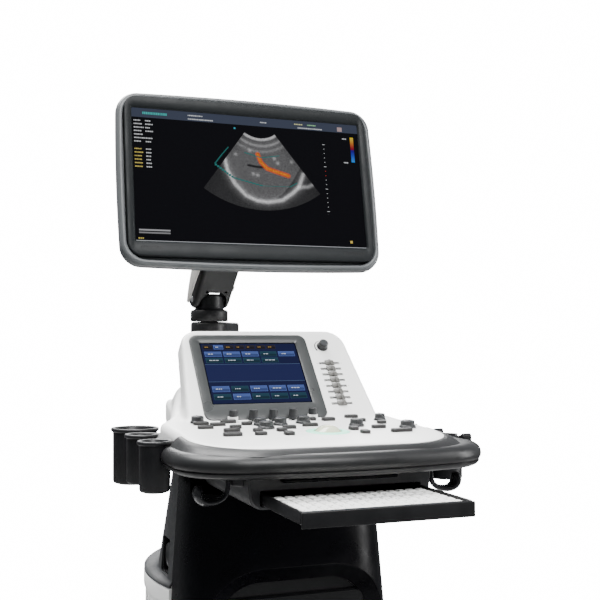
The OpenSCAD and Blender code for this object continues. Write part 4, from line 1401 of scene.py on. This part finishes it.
def make_base():
    """Skirt, deck, bumper and footrest of the base."""
    low, high = node_box("base_cover")
    outline = spread(rect(high.x - low.x, high.y - low.y, 95, 0, (low.y + high.y) / 2, 14), 20)
    bm = bmesh.new()
    levels = [(5, 141.0), (1.2, 142.2), (0, 146), (0, 166), (2, 174), (7, 182), (16, 187.4), (30, 189.6),
              (44, 190)]
    rows = [loop3(inset(outline, a), z) for a, z in levels]
    rows += [loop3(inset(outline, a), z) for a, z in ((44, 186), (8, 180), (5, 150))]
    ring_skin(bm, rows)
    piece("base_skirt", bm, "white", "cart", ["base_cover"], sharp=40)
    bm = bmesh.new()
    prism(bm, inset(outline, 43), 184, 190)
    top = piece("base_deck", bm, "white", "cart")
    cutter = bmesh.new()
    centre = node_centre("lift_tube_outer")
    lathe(cutter, [(0, 175), (35.5, 175), (35.5, 200), (0, 200)], 48, over(centre))
    cut_with(top, cutter)
    bm = bmesh.new()
    bumper = ((0.0, 149), (-0.6, 151), (-0.6, 158), (0.0, 160), (2.5, 160), (2.5, 149))
    ring_skin(bm, [loop3(inset(outline, a), z) for a, z in bumper])
    piece("base_bumper", bm, "mat", "cart", sharp=40)
    bm = bmesh.new()
    pad = spread(fillet([(196, -350, 40), (210, -196, 10), (-210, -196, 10), (-196, -350, 40)], 8), 16)
    pillow(bm, pad, 189.4, 191.2, 1.2)
    for k in range(11):
        y = -326 + k * 11.5
        prism(bm, rect(330 + 2.4 * k, 4.4, 2, 0, y, 3), 191, 192.6)
    piece("footrest_pad", bm, "mat", "cart", sharp=45)


def make_casters():
    """Twin-flanged wheels in forks, each with a brake pedal."""
    for corner in ("fl", "fr", "rl", "rr"):
        stem = joint_point(f"swivel_{corner}")
        axle = joint_point(f"roll_{corner}")
        r = axle.z
        turn = Matrix.Translation(axle) @ ACROSS
        bm = bmesh.new()
        tread = [(46, -11), (56.5, -13.2), (59, -14.6), (61.2, -13), (r - 0.1, -8.5), (r, -3), (r, 3),
                 (r - 0.1, 8.5), (61.2, 13), (59, 14.6), (56.5, 13.2), (46, 11)]
        lathe_ring(bm, tread, 72, turn)
        piece(f"tyre_{corner}", bm, "rubber", f"wheel_{corner}", [f"caster_wheel_{corner}"], sharp=40)
        bm = bmesh.new()
        hub = [(6.2, -14.5), (16, -14.5), (20, -13), (22, -9), (36, -6.5), (44, -9.5), (47, -12.2),
               (48.5, -12.2), (48.5, 12.2), (47, 12.2), (44, 9.5), (36, 6.5), (22, 9), (20, 13), (16, 14.5),
               (6.2, 14.5)]
        lathe_ring(bm, hub, 60, turn)
        for k in range(6):
            spoke = turn @ Matrix.Rotation(k * math.pi / 3, 4, "Z")
            prism(bm, rect(22, 6, 2.5, 32, 0, 3), -9.4, 9.4, spoke)
        piece(f"hub_{corner}", bm, "light_grey", f"wheel_{corner}", bevel=0.5)
        bm = bmesh.new()
        at = over(stem)
        lathe(bm, [(0, 132.2), (24, 132.2), (29, 134), (30, 138), (28, 142), (20, 145.5), (10, 146),
                   (9.9, 184), (0, 184)], 48, at)
        for s in (-1, 1):
            outline = fillet([(-24, 134, 5), (-21, 118, 24), (axle.y - stem.y - 15, axle.z - 4, 9),
                              (axle.y - stem.y - 4, axle.z - 15, 9), (axle.y - stem.y + 15, axle.z - 6, 9),
                              (axle.y - stem.y + 14, axle.z + 12, 16), (30, 134, 6)], 5)
            skin(bm, [[Vector((stem.x + s * x, stem.y + y, z)) for y, z in outline] for x in (17.2, 21.8)])
        hood = [(17.3, 133.5), (17.3, 128.4), (-17.3, 128.4), (-17.3, 133.5)]
        skin(bm, [[Vector((stem.x + x, stem.y + y, z)) for x, z in hood] for y in (-22, 27)])
        piece(f"fork_{corner}", bm, "caster", f"caster_{corner}", [f"caster_fork_{corner}"],
              bevel=1.2)
        bm = bmesh.new()
        lathe(bm, [(0, -22.6), (6.5, -22.6), (8.5, -21.6), (5.95, -21.2), (5.95, 21.2), (8.5, 21.6),
                   (6.5, 22.6), (0, 22.6)], 32, turn)
        piece(f"axle_{corner}", bm, "pin", f"caster_{corner}", sharp=40)
        bm = bmesh.new()
        pedal = fillet([(-12, 0, 4), (12, 0, 4), (15, 20, 6), (-15, 20, 6)], 5)
        tipped = Matrix.Rotation(math.radians(-18), 4, "X")
        lever = Matrix.Translation((stem.x, stem.y - 26, 127)) @ tipped @ MIRROR_Y
        prism(bm, pedal, 0, 4, lever)
        piece(f"brake_pedal_{corner}", bm, "dark", f"caster_{corner}", bevel=1.2)


# ---------------------------------------------------------------- arm
TOWER, ELBOW = joint_point("arm_swivel"), joint_point("elbow_swivel")
LIFT, HEAD = joint_point("arm_lift"), joint_point("head_level")
ARM_AXIS = Vector(JOINTS["arm_lift"]["axis"]).normalized()
ARM_TURN = math.atan2(ARM_AXIS.y, ARM_AXIS.x)


def make_tower():
    """Round tower on a square foot, with two fine grooves at its top."""
    at = over(TOWER)
    bm = bmesh.new()
    lathe(bm, [(0, 792), (46, 792), (44, 797), (40.5, 801), (38.3, 808), (37.6, 880), (37.4, 930),
               (37.8, 955), (38, 961), (37, 962.4), (38, 963.6), (38, 966.8), (37, 967.8),
               (0, 967.8)], 64, at)
    prism(bm, rect(103, 87, 20, TOWER.x, TOWER.y), 792, 798)
    piece("tower_column", bm, "arm", "console", ["arm_tower"], bevel=0.6)


def make_lower_link():
    """Flat link between the tower and the elbow, with its pivot in the tower."""
    span = Vector((ELBOW.x - TOWER.x, ELBOW.y - TOWER.y))
    length, heading = span.length, math.atan2(span.y, span.x)
    link = over(TOWER) @ Matrix.Rotation(heading, 4, "Z")
    bm = bmesh.new()
    outline = spread(capsule(length, 36, 34.6), 8)
    pillow(bm, outline, 968.6, 999.8, 5, link, foot=2.5, steps=5)
    lathe(bm, [(0, 925), (13.9, 925), (13.9, 970), (0, 970)], 32, over(TOWER))
    piece("arm_link_moulded", bm, "arm", "arm_link", ["arm_lower_link"], sharp=50)


def make_elbow():
    """Stepped turret and the pin that carries the lift arm."""
    at = over(ELBOW)
    bm = bmesh.new()
    lathe(bm, [(0, 978), (13.9, 978), (13.9, 1000.6), (34, 1000.6), (35, 1001.6), (35, 1018.6),
               (33.6, 1021.4), (27.6, 1023.4), (26.7, 1025), (26.4, 1044), (25.6, 1048.5), (23, 1051.4),
               (19, 1052), (0, 1052)], 72, at)
    piece("elbow_turret", bm, "arm", "elbow", ["arm_elbow"], sharp=60)
    bm = bmesh.new()
    turned = at @ Matrix.Rotation(ARM_TURN, 4, "Z")
    pin = turned @ Matrix.Translation((0, 0, LIFT.z)) @ ACROSS
    pivot_pin(bm, pin)
    piece("elbow_pin", bm, "pin", "elbow", sharp=40)


def make_lift_arm():
    """Lift arm with forked ends, an open channel below and two screw wells, then its cover and cables."""
    along = (HEAD - LIFT).normalized()
    normal = ARM_AXIS.cross(along).normalized()
    arm = Matrix(((ARM_AXIS.x, along.x, normal.x, LIFT.x), (ARM_AXIS.y, along.y, normal.y, LIFT.y),
                  (ARM_AXIS.z, along.z, normal.z, LIFT.z), (0, 0, 0, 1)))
    reach = (HEAD - LIFT).length
    half, wall_half = 36.8, 28
    bm = bmesh.new()
    side = arm @ Matrix(((0, 0, 1, -half), (1, 0, 0, 0), (0, 1, 0, 0), (0, 0, 0, 1)))
    two_sided(bm, spread(capsule(reach, 17, 17), 5), 2 * half, 8.5, side)
    body = piece("lift_arm_body", bm, "arm", "lift", ["lift_arm"])
    arch = arc(0, -1, wall_half, 0, 180, 24) + [(-wall_half, -40), (wall_half, -40)]
    fork = fillet([(-wall_half, reach - 34, 8), (wall_half, reach - 34, 8), (wall_half, reach + 40, 1),
                   (-wall_half, reach + 40, 1)])
    cutter = bmesh.new()
    prism(cutter, arch, -8, 40, arm)
    prism(cutter, fork, -40, 40, arm)
    cut_with(body, cutter)
    cutter = bmesh.new()
    prism(cutter, rect(2 * wall_half, 60, 2, 0, -21), -40, -7, arm)
    cut_with(body, cutter)
    cutter = bmesh.new()
    prism(cutter, rect(2 * wall_half, reach - 80, 6, 0, reach / 2), -40, 11, arm)
    cut_with(body, cutter)
    cutter = bmesh.new()
    for x in (-20, 20):
        spot = arm @ Matrix.Translation((x, 26, 0))
        lathe(cutter, [(0, 12), (2.9, 12), (2.9, 30), (0, 30)], 24, spot)
    cut_with(body, cutter)
    bm = bmesh.new()
    for x in (-20, 20):
        lathe(bm, [(0, 11), (2.6, 11), (2.6, 13.2), (2.0, 13.8), (0, 13.8)], 20,
              arm @ Matrix.Translation((x, 26, 0)))
    piece("arm_screws", bm, "slot", "lift", sharp=40)
    make_arm_cover(arm, reach, half)
    make_arm_cables(arm)


def make_head():
    """Block between the arm's cheeks with a turned collar and the monitor's swivel post."""
    at = Matrix.Translation(HEAD) @ Matrix.Rotation(ARM_TURN, 4, "Z")
    bm = bmesh.new()
    cheek = fillet([(14, 20, 4), (-14, 20, 4), (-13.8, 0, 13), (0, -13.9, 13.5), (13.8, 0, 13)], 6)
    skin(bm, [[at @ Vector((x, y, z)) for y, z in cheek] for x in (-22, 22)])
    lathe(bm, [(0, 18.6), (17, 18.6), (18, 19.6), (18, 23.6), (17, 24.4), (9.9, 24.4), (9.9, 56), (0, 56)],
          48, at)
    piece("head_turret", bm, "arm", "head", ["head_block"], bevel=0.8)
    bm = bmesh.new()
    cross = at @ ACROSS
    pivot_pin(bm, cross)
    lathe(bm, [(0, -27), (12, -27), (13, -26), (13, 26), (12, 27), (0, 27)], 40, cross)
    piece("head_pin", bm, "pin", "head", sharp=40)


def make_yoke():
    """Ring on the swivel post with a neck to the tilt pin."""
    tilt = joint_point("monitor_tilt")
    at = Matrix.Translation(HEAD)
    bm = bmesh.new()
    lathe_ring(bm, [(10.1, 25.2), (14.5, 25.2), (16, 27), (16, 54.5), (14.5, 56.8), (10.1, 56.8)], 48, at)
    neck_low, neck_high = HEAD.z + 29, HEAD.z + 53
    neck = rect(27.6, HEAD.y - tilt.y - 10.5, 3, tilt.x, (HEAD.y - 11 + tilt.y) / 2)
    prism(bm, neck, neck_low, neck_high)
    pivot = Matrix.Translation(tilt) @ ACROSS
    lathe(bm, [(0, -42), (4.9, -42), (4.9, -28), (8.2, -28), (9, -27), (9, 27), (8.2, 28), (4.9, 28),
               (4.9, 42), (0, 42)], 40, pivot)
    piece("yoke_body", bm, "arm", "yoke", ["monitor_yoke"], bevel=0.8)


def pivot_pin(bm, matrix):
    """Pin through both cheeks of the arm, with chamfered ends."""
    lathe(bm, [(0, -36.9), (5.2, -36.9), (5.9, -36.2), (5.9, 36.2), (5.2, 36.9), (0, 36.9)], 32, matrix)


def two_sided(bm, outline, depth, edge, matrix, steps=6):
    """A slab rounded over by the same radius on both of its faces."""
    quarter = [math.pi / 2 * i / steps for i in range(steps + 1)]
    low = [(edge * (1 - math.sin(a)), edge * (1 - math.cos(a))) for a in quarter]
    high = [(amount, depth - z) for amount, z in reversed(low)]
    skin(bm, [[matrix @ p for p in loop3(inset(outline, amount), z)] for amount, z in low + high])


def make_arm_cover(arm, reach, half):
    """Pale blade along the arm's left cheek: bowed outwards, pointed at its lower end, on two studs."""
    bm = bmesh.new()
    rows = 28
    loops = []
    for i in range(rows + 1):
        t = i / rows
        y = -6 + (reach + 8) * t
        width = 15.5 * min(1.0, 0.10 + 2.1 * t) ** 0.7
        out = half + 1.6 + 7.0 * math.sin(math.pi * min(1.0, 0.12 + 0.95 * t)) ** 0.8
        section = fillet([(-out, -width, 1.2), (-out - 3.2, -width, 1.2), (-out - 3.2, width, 1.5),
                          (-out, width, 1.2)], 3)
        loops.append([arm @ Vector((x, y, z)) for x, z in section])
    skin(bm, loops)
    piece("arm_side_cover", bm, "arm_white", "lift", sharp=40)
    bm = bmesh.new()
    for y in (60, reach - 50):
        stud = arm @ Matrix.Translation((-half + 1, y, 0)) @ Matrix.Rotation(-math.pi / 2, 4, "Y")
        lathe(bm, [(0, 0), (6, 0), (6, 9), (0, 9)], 24, stud)
    piece("arm_cover_studs", bm, "arm", "lift", bevel=0.4)


def make_arm_cables(arm):
    """Cable bow along the right cheek with its clips, and a short loop out of the front face."""
    bm = bmesh.new()
    swing = [math.sin(math.pi * k / 36) for k in range(37)]
    tube(bm, [arm @ Vector((41.2 + 8 * w, 24 + 128 * k / 36, -4 - 30 * w))
              for k, w in enumerate(swing)], 3.9, 14)
    piece("monitor_cable_sheath", bm, "cable", "lift", ["monitor_cable"], sharp=60)
    bm = bmesh.new()
    tube(bm, [arm @ Vector((6 + 38 * k / 36, 150 - 20 * w - 4 * k / 36, 14 + 24 * w))
              for k, w in enumerate(swing)], 2.6, 12)
    tube(bm, [arm @ Vector((14 + 24 * k / 36, 156 - 12 * w, 14 + 12 * w))
              for k, w in enumerate(swing)], 2.2, 12)
    piece("arm_front_cables", bm, "cable", "lift", sharp=60)
    bm = bmesh.new()
    for y in (24, 152):
        clip = arm @ Matrix.Translation((41.2, y, -4)) @ Matrix.Rotation(math.pi / 2, 4, "X")
        lathe_ring(bm, [(4.0, -4), (6.0, -4), (6.0, 4), (4.0, 4)], 28, clip)
    piece("cable_clips", bm, "arm", "lift", bevel=0.5)


def capsule(length, r0, r1):
    """Outline of two round ends joined by tangent sides, along X."""
    lean = math.degrees(math.asin((r0 - r1) / length))
    return arc(length, 0, r1, -90 + lean, 90 - lean, 20) + arc(0, 0, r0, 90 - lean, 270 + lean, 20)


# ---------------------------------------------------------------- monitor
def bowed(points, across, up, width, height):
    """Swells a rectangular outline's edges outwards by small amounts."""
    out = []
    for x, y in points:
        sx, sy = 2 * x / width, 2 * y / height
        out.append((x + across * math.copysign(1, x) * max(0, 1 - sy * sy) * min(1, abs(sx)) ** 4,
                    y + up * math.copysign(1, y) * max(0, 1 - sx * sx) * min(1, abs(sy)) ** 4))
    return out


def shrunk(outline, width, tall, middle, shrink, z):
    """An outline of the monitor drawn in by an amount, at a height above the picture's plane."""
    sx, sy = 1 - 2 * shrink / width, 1 - 2 * shrink / tall
    return [M_MON @ Vector((x * sx, y * sy + middle, z)) for x, y in outline]


def make_monitor_back():
    """Light rim and rear shell, the yoke's bracket and the vents as dark bars of painted shade."""
    low, high = islands("monitor_rear_shell", M_MON)[0]
    width, tall, middle = high.x - low.x, high.y - low.y, (low.y + high.y) / 2

    outline = spread(rect(width - 4, tall - 6, 32, 0, -1.5, 12), 10)
    outline = bowed(outline, 3.2, 4.4, width - 4, tall - 6)
    bm = bmesh.new()
    section = ((10.5, -9), (8.6, 0.6), (7, 2.3), (3.6, 2.0), (1.2, 0.2), (0, -4), (-0.6, -10), (-0.2, -18),
               (1.5, -24), (6, -28.5), (15, -32), (34, -35.5), (62, -38.5), (90, -40.3), (112, -41))
    skin(bm, [shrunk(outline, width, tall, middle, *step) for step in section])
    piece("monitor_back", bm, "light_grey", "monitor", ["monitor_rear_shell"], sharp=60)
    bm = bmesh.new()
    for s in (-1, 1):
        outline = fillet([(-13, -38, 2), (13, -38, 2), (12, -62, 11.5), (0, -74, 11.8), (-12, -62, 11.5)], 6)
        outline = list(reversed(outline))
        skin(bm, [[M_MON @ Vector((s * x, y, z)) for y, z in outline] for x in (31.2, 40.8)])
    prism(bm, rect(110, 92, 8, 0, 0), -44.5, -40, M_MON)
    piece("monitor_bracket", bm, "arm", "monitor", bevel=0.8)
    bm = bmesh.new()
    # painted shade: dark bars that stand for the vent slots
    for s in (-1, 1):
        for k in range(12):
            prism(bm, rect(60, 2.4, 1.1, s * 92, 58 - k * 5.2, 3), -41.8, -36, M_MON)
    piece("monitor_rear_vent_shade", bm, "slot", "monitor")


def make_monitor_bezel():
    """Slate frame round the picture, with dark dots of painted shade for the speaker holes, and status marks."""
    low, high = islands("monitor_bezel", M_MON)[0]
    width, tall, middle = high.x - low.x, high.y - low.y, (low.y + high.y) / 2

    edge = spread(rect(width, tall, 22, 0, 0, 12), 10)
    edge = bowed(edge, 0.6, 1.2, width, tall)

    def window_loop(grow, z):
        hx, hy = PIC_W / 2 + grow, PIC_H / 2 + grow
        out = []
        for x, y in edge:
            reach = max(abs(x) / (width / 2), abs(y) / (tall / 2))
            out.append(M_MON @ Vector((x / reach * hx / (width / 2), y / reach * hy / (tall / 2), z)))
        return out

    bm = bmesh.new()
    rim = ((0, -8), (0, 2.0), (0.6, 3.0), (2.0, 3.4))
    rows = [shrunk(edge, width, tall, middle, *step) for step in rim]
    rows += [window_loop(*step) for step in ((3.2, 2.0), (0.3, 0.2), (0, -0.8), (2, -0.8), (2, -8))]
    ring_skin(bm, rows)
    piece("monitor_bezel_slate", bm, "slate", "monitor", ["monitor_bezel"], sharp=50)
    bm = bmesh.new()
    # painted shade: dark dots that stand for the speaker holes
    for s in (-1, 1):
        for row in range(3):
            for k in range(11 - row):
                x = s * (width / 2 - 17 - row * 2.4 - k * 4.4)
                y = middle - tall / 2 + 8.2 + row * 3.6
                dot = M_MON @ Matrix.Translation((x + (2.2 * s if row % 2 else 0), y, 2.35))
                lathe(bm, [(0, 0), (1.25, 0), (1.25, 0.42), (0, 0.3)], 10, dot)
    piece("speaker_hole_shade", bm, "slot", "monitor")
    bm = bmesh.new()
    for k in range(4):
        dot = M_MON @ Matrix.Translation((width / 2 - 32 + k * 5.5, middle + tall / 2 - 12, 2.3))
        lathe(bm, [(0, 0), (1.3 - 0.2 * k, 0), (1.2 - 0.2 * k, 0.45), (0, 0.55)], 14, dot)
    piece("status_marks", bm, "slot", "monitor")


def text_marks(bm, layer, x, y, widths, height, colour):
    """Dashes that stand for a line of small print; widths alternate mark and gap."""
    for i, w in enumerate(widths):
        if i % 2 == 0:
            slip(bm, layer, x, y, x + w, y + height, colour, M_MON, -0.62)
        x += w


def make_monitor_picture():
    """The lit picture: header bar, readout columns, sector scan, depth ticks and colour scale."""
    w, h = PIC_W, PIC_H

    def at(u, v):
        return -w / 2 + u * w, h / 2 - v * h

    bm = bmesh.new()
    layer = bm.loops.layers.float_color.new("paint")
    slip(bm, layer, -w / 2 - 1.6, -h / 2 - 1.6, w / 2 + 1.6, h / 2 + 1.6, (0.0015, 0.0015, 0.002), M_MON,
         -8.6, 7.7)
    slate, white, yellow = (0.045, 0.055, 0.085), (0.62, 0.64, 0.66), (0.62, 0.50, 0.12)

    def mark(*plate):
        slip(bm, layer, *plate, M_MON, -0.62)

    x0, y0 = at(0, 0.07)
    slip(bm, layer, x0, y0, w / 2, h / 2, slate, M_MON, -0.78)
    dice = random.Random(11)

    def dashes(total, colour, u, v, height=2.0):
        widths, used = [], 0.0
        while used < total:
            step = dice.uniform(1.0, 3.2)
            widths += [step, 0.7]
            used += step + 0.7
        x, y = at(u, v)
        text_marks(bm, layer, x, y, widths, height, colour)

    dashes(40, (0.05, 0.42, 0.40), 0.045, 0.045, 4.2)
    dashes(26, white, 0.235, 0.032)
    dashes(44, white, 0.235, 0.06)
    dashes(11, white, 0.55, 0.042)
    dashes(14, (0.6, 0.6, 0.3), 0.705, 0.034)
    dashes(16, (0.3, 0.6, 0.3), 0.765, 0.034)
    dashes(46, white, 0.72, 0.062)
    for i in range(7):
        dashes(11 + 3 * (i % 3), white, 0.008, 0.1 + 0.0268 * i)
        if i != 4:
            dashes(8 + 4 * (i % 2), white, 0.055, 0.1 + 0.0268 * i)
    for i in range(6):
        dashes(12, yellow, 0.008, 0.318 + 0.0268 * i)
        dashes(7, white, 0.055, 0.318 + 0.0268 * i)
    for i in range(16):
        x, y = at(0.835, 0.182 + 0.036 * i)
        long = 4.5 if i % 5 == 0 else 1.6
        red = i in (6, 7)
        mark(x - long / 2, y, x + long / 2, y + 0.9, (0.6, 0.05, 0.04) if red else white)
    for i in range(30):
        x, y = at(0.962, 0.105 + 0.0068 * i)
        t = abs(i - 14.5) / 14.5
        if i < 15:
            colour = (0.75 * (0.25 + 0.75 * t), 0.55 * t * t, 0.02)
        else:
            colour = (0.02, 0.25 * t * t, 0.75 * (0.2 + 0.8 * t))
        mark(x, y - 1.57, x + 6.5, y, colour)
    dashes(6, white, 0.925, 0.125)
    dashes(6, white, 0.925, 0.32)
    for v, level in ((0.925, 0.35), (0.945, 0.22)):
        x, y = at(0.015, v)
        mark(x, y, x + 52, y + 2.6, (level, level, level * 1.05))
    dashes(9, yellow, 0.012, 0.985)
    x, y = at(0.925, 0.965)
    mark(x, y, x + 4.5, y + 4.5, (0.75, 0.55, 0.1))
    x, y = at(0.905, 0.062)
    mark(x, y, x + 9, y + 8, (0.42, 0.3, 0.3))
    x, y = at(0.435, 0.1)
    mark(x - 1.6, y - 1.6, x + 1.6, y + 1.6, (0.05, 0.35, 0.45))
    mark(-w / 2, -h / 2, w / 2, -h / 2 + 0.9, (0.5, 0.52, 0.55))

    apex = Vector((-w / 2 + 0.545 * w, h / 2 - 0.088 * h + 28))
    teal = (0.02, 0.16, 0.15)
    for line in (((-84, -98), (-52, -121), (0, -133), (50, -132), (64, -124)),
                 ((-84, -98), (-70, -80), (-58, -66)), ((-30, -74), (0, -82), (34, -76))):
        for a, b in zip(line, line[1:]):
            parts = 8
            for k in range(parts):
                p = Vector(a).lerp(Vector(b), k / parts) + apex
                q = Vector(a).lerp(Vector(b), (k + 1) / parts) + apex
                slip(bm, layer, min(p.x, q.x), min(p.y, q.y) - 0.3, max(p.x, q.x), max(p.y, q.y) + 0.3, teal,
                     M_MON, -0.42)
    piece("monitor_picture", bm, "display", "monitor", ["lcd_panel"])
    make_sector(apex)


def away(point, line):
    """Distance from a point to a polyline."""
    best = 1e9
    for a, b in zip(line, line[1:]):
        a, b = Vector(a), Vector(b)
        t = max(0.0, min(1.0, (point - a).dot(b - a) / (b - a).length_squared))
        best = min(best, (point - a.lerp(b, t)).length)
    return best


def make_sector(apex):
    """The fan of the scan, painted point by point from the depth, a bright curved border and two vessels."""
    inner, outer, spreadth = 46.0, 177.0, 36.5
    border = ((-66, -84), (-62, -108), (-50, -132), (-31, -152), (-12, -160), (8, -162), (34, -157),
              (52, -145), (66, -132), (76, -108))
    spur = ((66, -132), (84, -130), (92, -126))
    vessel = ((-6, -76), (-1, -90), (10, -101), (30, -107), (48, -112))
    shadow = ((-24, -97), (-8, -99), (6, -99))
    spots = ((-46, -78), (-20, -70), (24, -82), (-16, -112), (-8, -114), (30, -90), (56, -86))

    def tone(a, r):
        p = Vector((r * math.sin(math.radians(a)), -r * math.cos(math.radians(a))))
        depth = (r - inner) / (outer - inner)
        near = math.exp(-((depth - 0.02) / 0.02) ** 2) * 0.6 + math.exp(-((depth - 0.11) / 0.018) ** 2) * 0.4
        near += math.exp(-((depth - 0.19) / 0.02) ** 2) * 0.22
        gap = away(p, border)
        inside = p.length < 168 and p.y > -162 + abs(p.x) ** 2 / 75
        level = 0.13 + near * 0.5
        if depth < 0.06:
            level = 0.05 + near
        if not inside and depth > 0.55:
            level = 0.035
        level += 0.62 * math.exp(-(gap / 3.0) ** 2) + 0.10 * math.exp(-(gap / 9) ** 2)
        level += 0.34 * math.exp(-(away(p, spur) / 3.2) ** 2)
        for spot in spots:
            level += 0.28 * math.exp(-((p - Vector(spot)).length / 3.0) ** 2)
        level *= 1 - 0.9 * math.exp(-(away(p, shadow) / 2.2) ** 4)
        level *= 1 - 0.45 * max(0.0, abs(a) / spreadth - 0.75) * 4 * 0.5
        red = math.exp(-(away(p, vessel) / 4.2) ** 6)
        core = math.exp(-(away(p, vessel) / 2.0) ** 2)
        grey = (level, level, level * 1.02)
        hot = (0.78, 0.10 + 0.14 * core, 0.015)
        return tuple(g * (1 - red) + c * red for g, c in zip(grey, hot))

    bm = bmesh.new()
    layer = bm.loops.layers.float_color.new("paint")
    cols, rows = 130, 110
    grid = []
    for j in range(rows + 1):
        r = inner + (outer - inner) * j / rows
        line = []
        for i in range(cols + 1):
            a = -spreadth + 2 * spreadth * i / cols
            x, y = apex.x + r * math.sin(math.radians(a)), apex.y - r * math.cos(math.radians(a))
            line.append((bm.verts.new(M_MON @ Vector((x, y, -0.52))), tone(a, r)))
        grid.append(line)
    for j in range(rows):
        for i in range(cols):
            ring = [grid[j][i], grid[j + 1][i], grid[j + 1][i + 1], grid[j][i + 1]]
            face = bm.faces.new([v for v, _ in ring])
            for loop, (_, colour) in zip(face.loops, ring):
                loop[layer] = (*colour, 1)
    behind = M_MON.to_3x3() @ Vector((0, 0, 0.2))
    back = [[bm.verts.new(v.co - behind) for v, _ in line] for line in (grid[0], grid[-1])]
    floor = bm.faces.new([*back[0], *reversed(back[1])])
    paint(floor, layer, (0, 0, 0))
    piece("sector_scan", bm, "scan", "monitor", sharp=80)


# ---------------------------------------------------------------- assembly
MATERIALS = make_materials()
make_stage()
for make in (make_console_shell, make_hand_rail, make_rail_flank, make_console_pan, make_column_skirt,
             make_touch_bezel, make_touch_picture, make_slider_shade_and_ticks, make_gain_knob, make_slider_caps,
             make_encoders, make_deck_keys, make_deck_knobs, make_trackball, make_left_cups, make_right_cups,
             make_hooks, make_keyboard_housing, make_keyboard_tray, make_keyboard_caps, make_release_paddle,
             make_front_cover, make_port_bay, make_sides, make_rear, make_base, make_casters, make_tower,
             make_lower_link, make_elbow, make_lift_arm, make_head, make_yoke, make_monitor_back,
             make_monitor_bezel, make_monitor_picture):
    make()
for node, key in (("base_chassis", "steel"), ("lift_tube_outer", "aluminium"),
                  ("lift_tube_inner", "aluminium")):
    frame["nodes"][node].data.materials.clear()
    frame["nodes"][node].data.materials.append(MATERIALS[key])
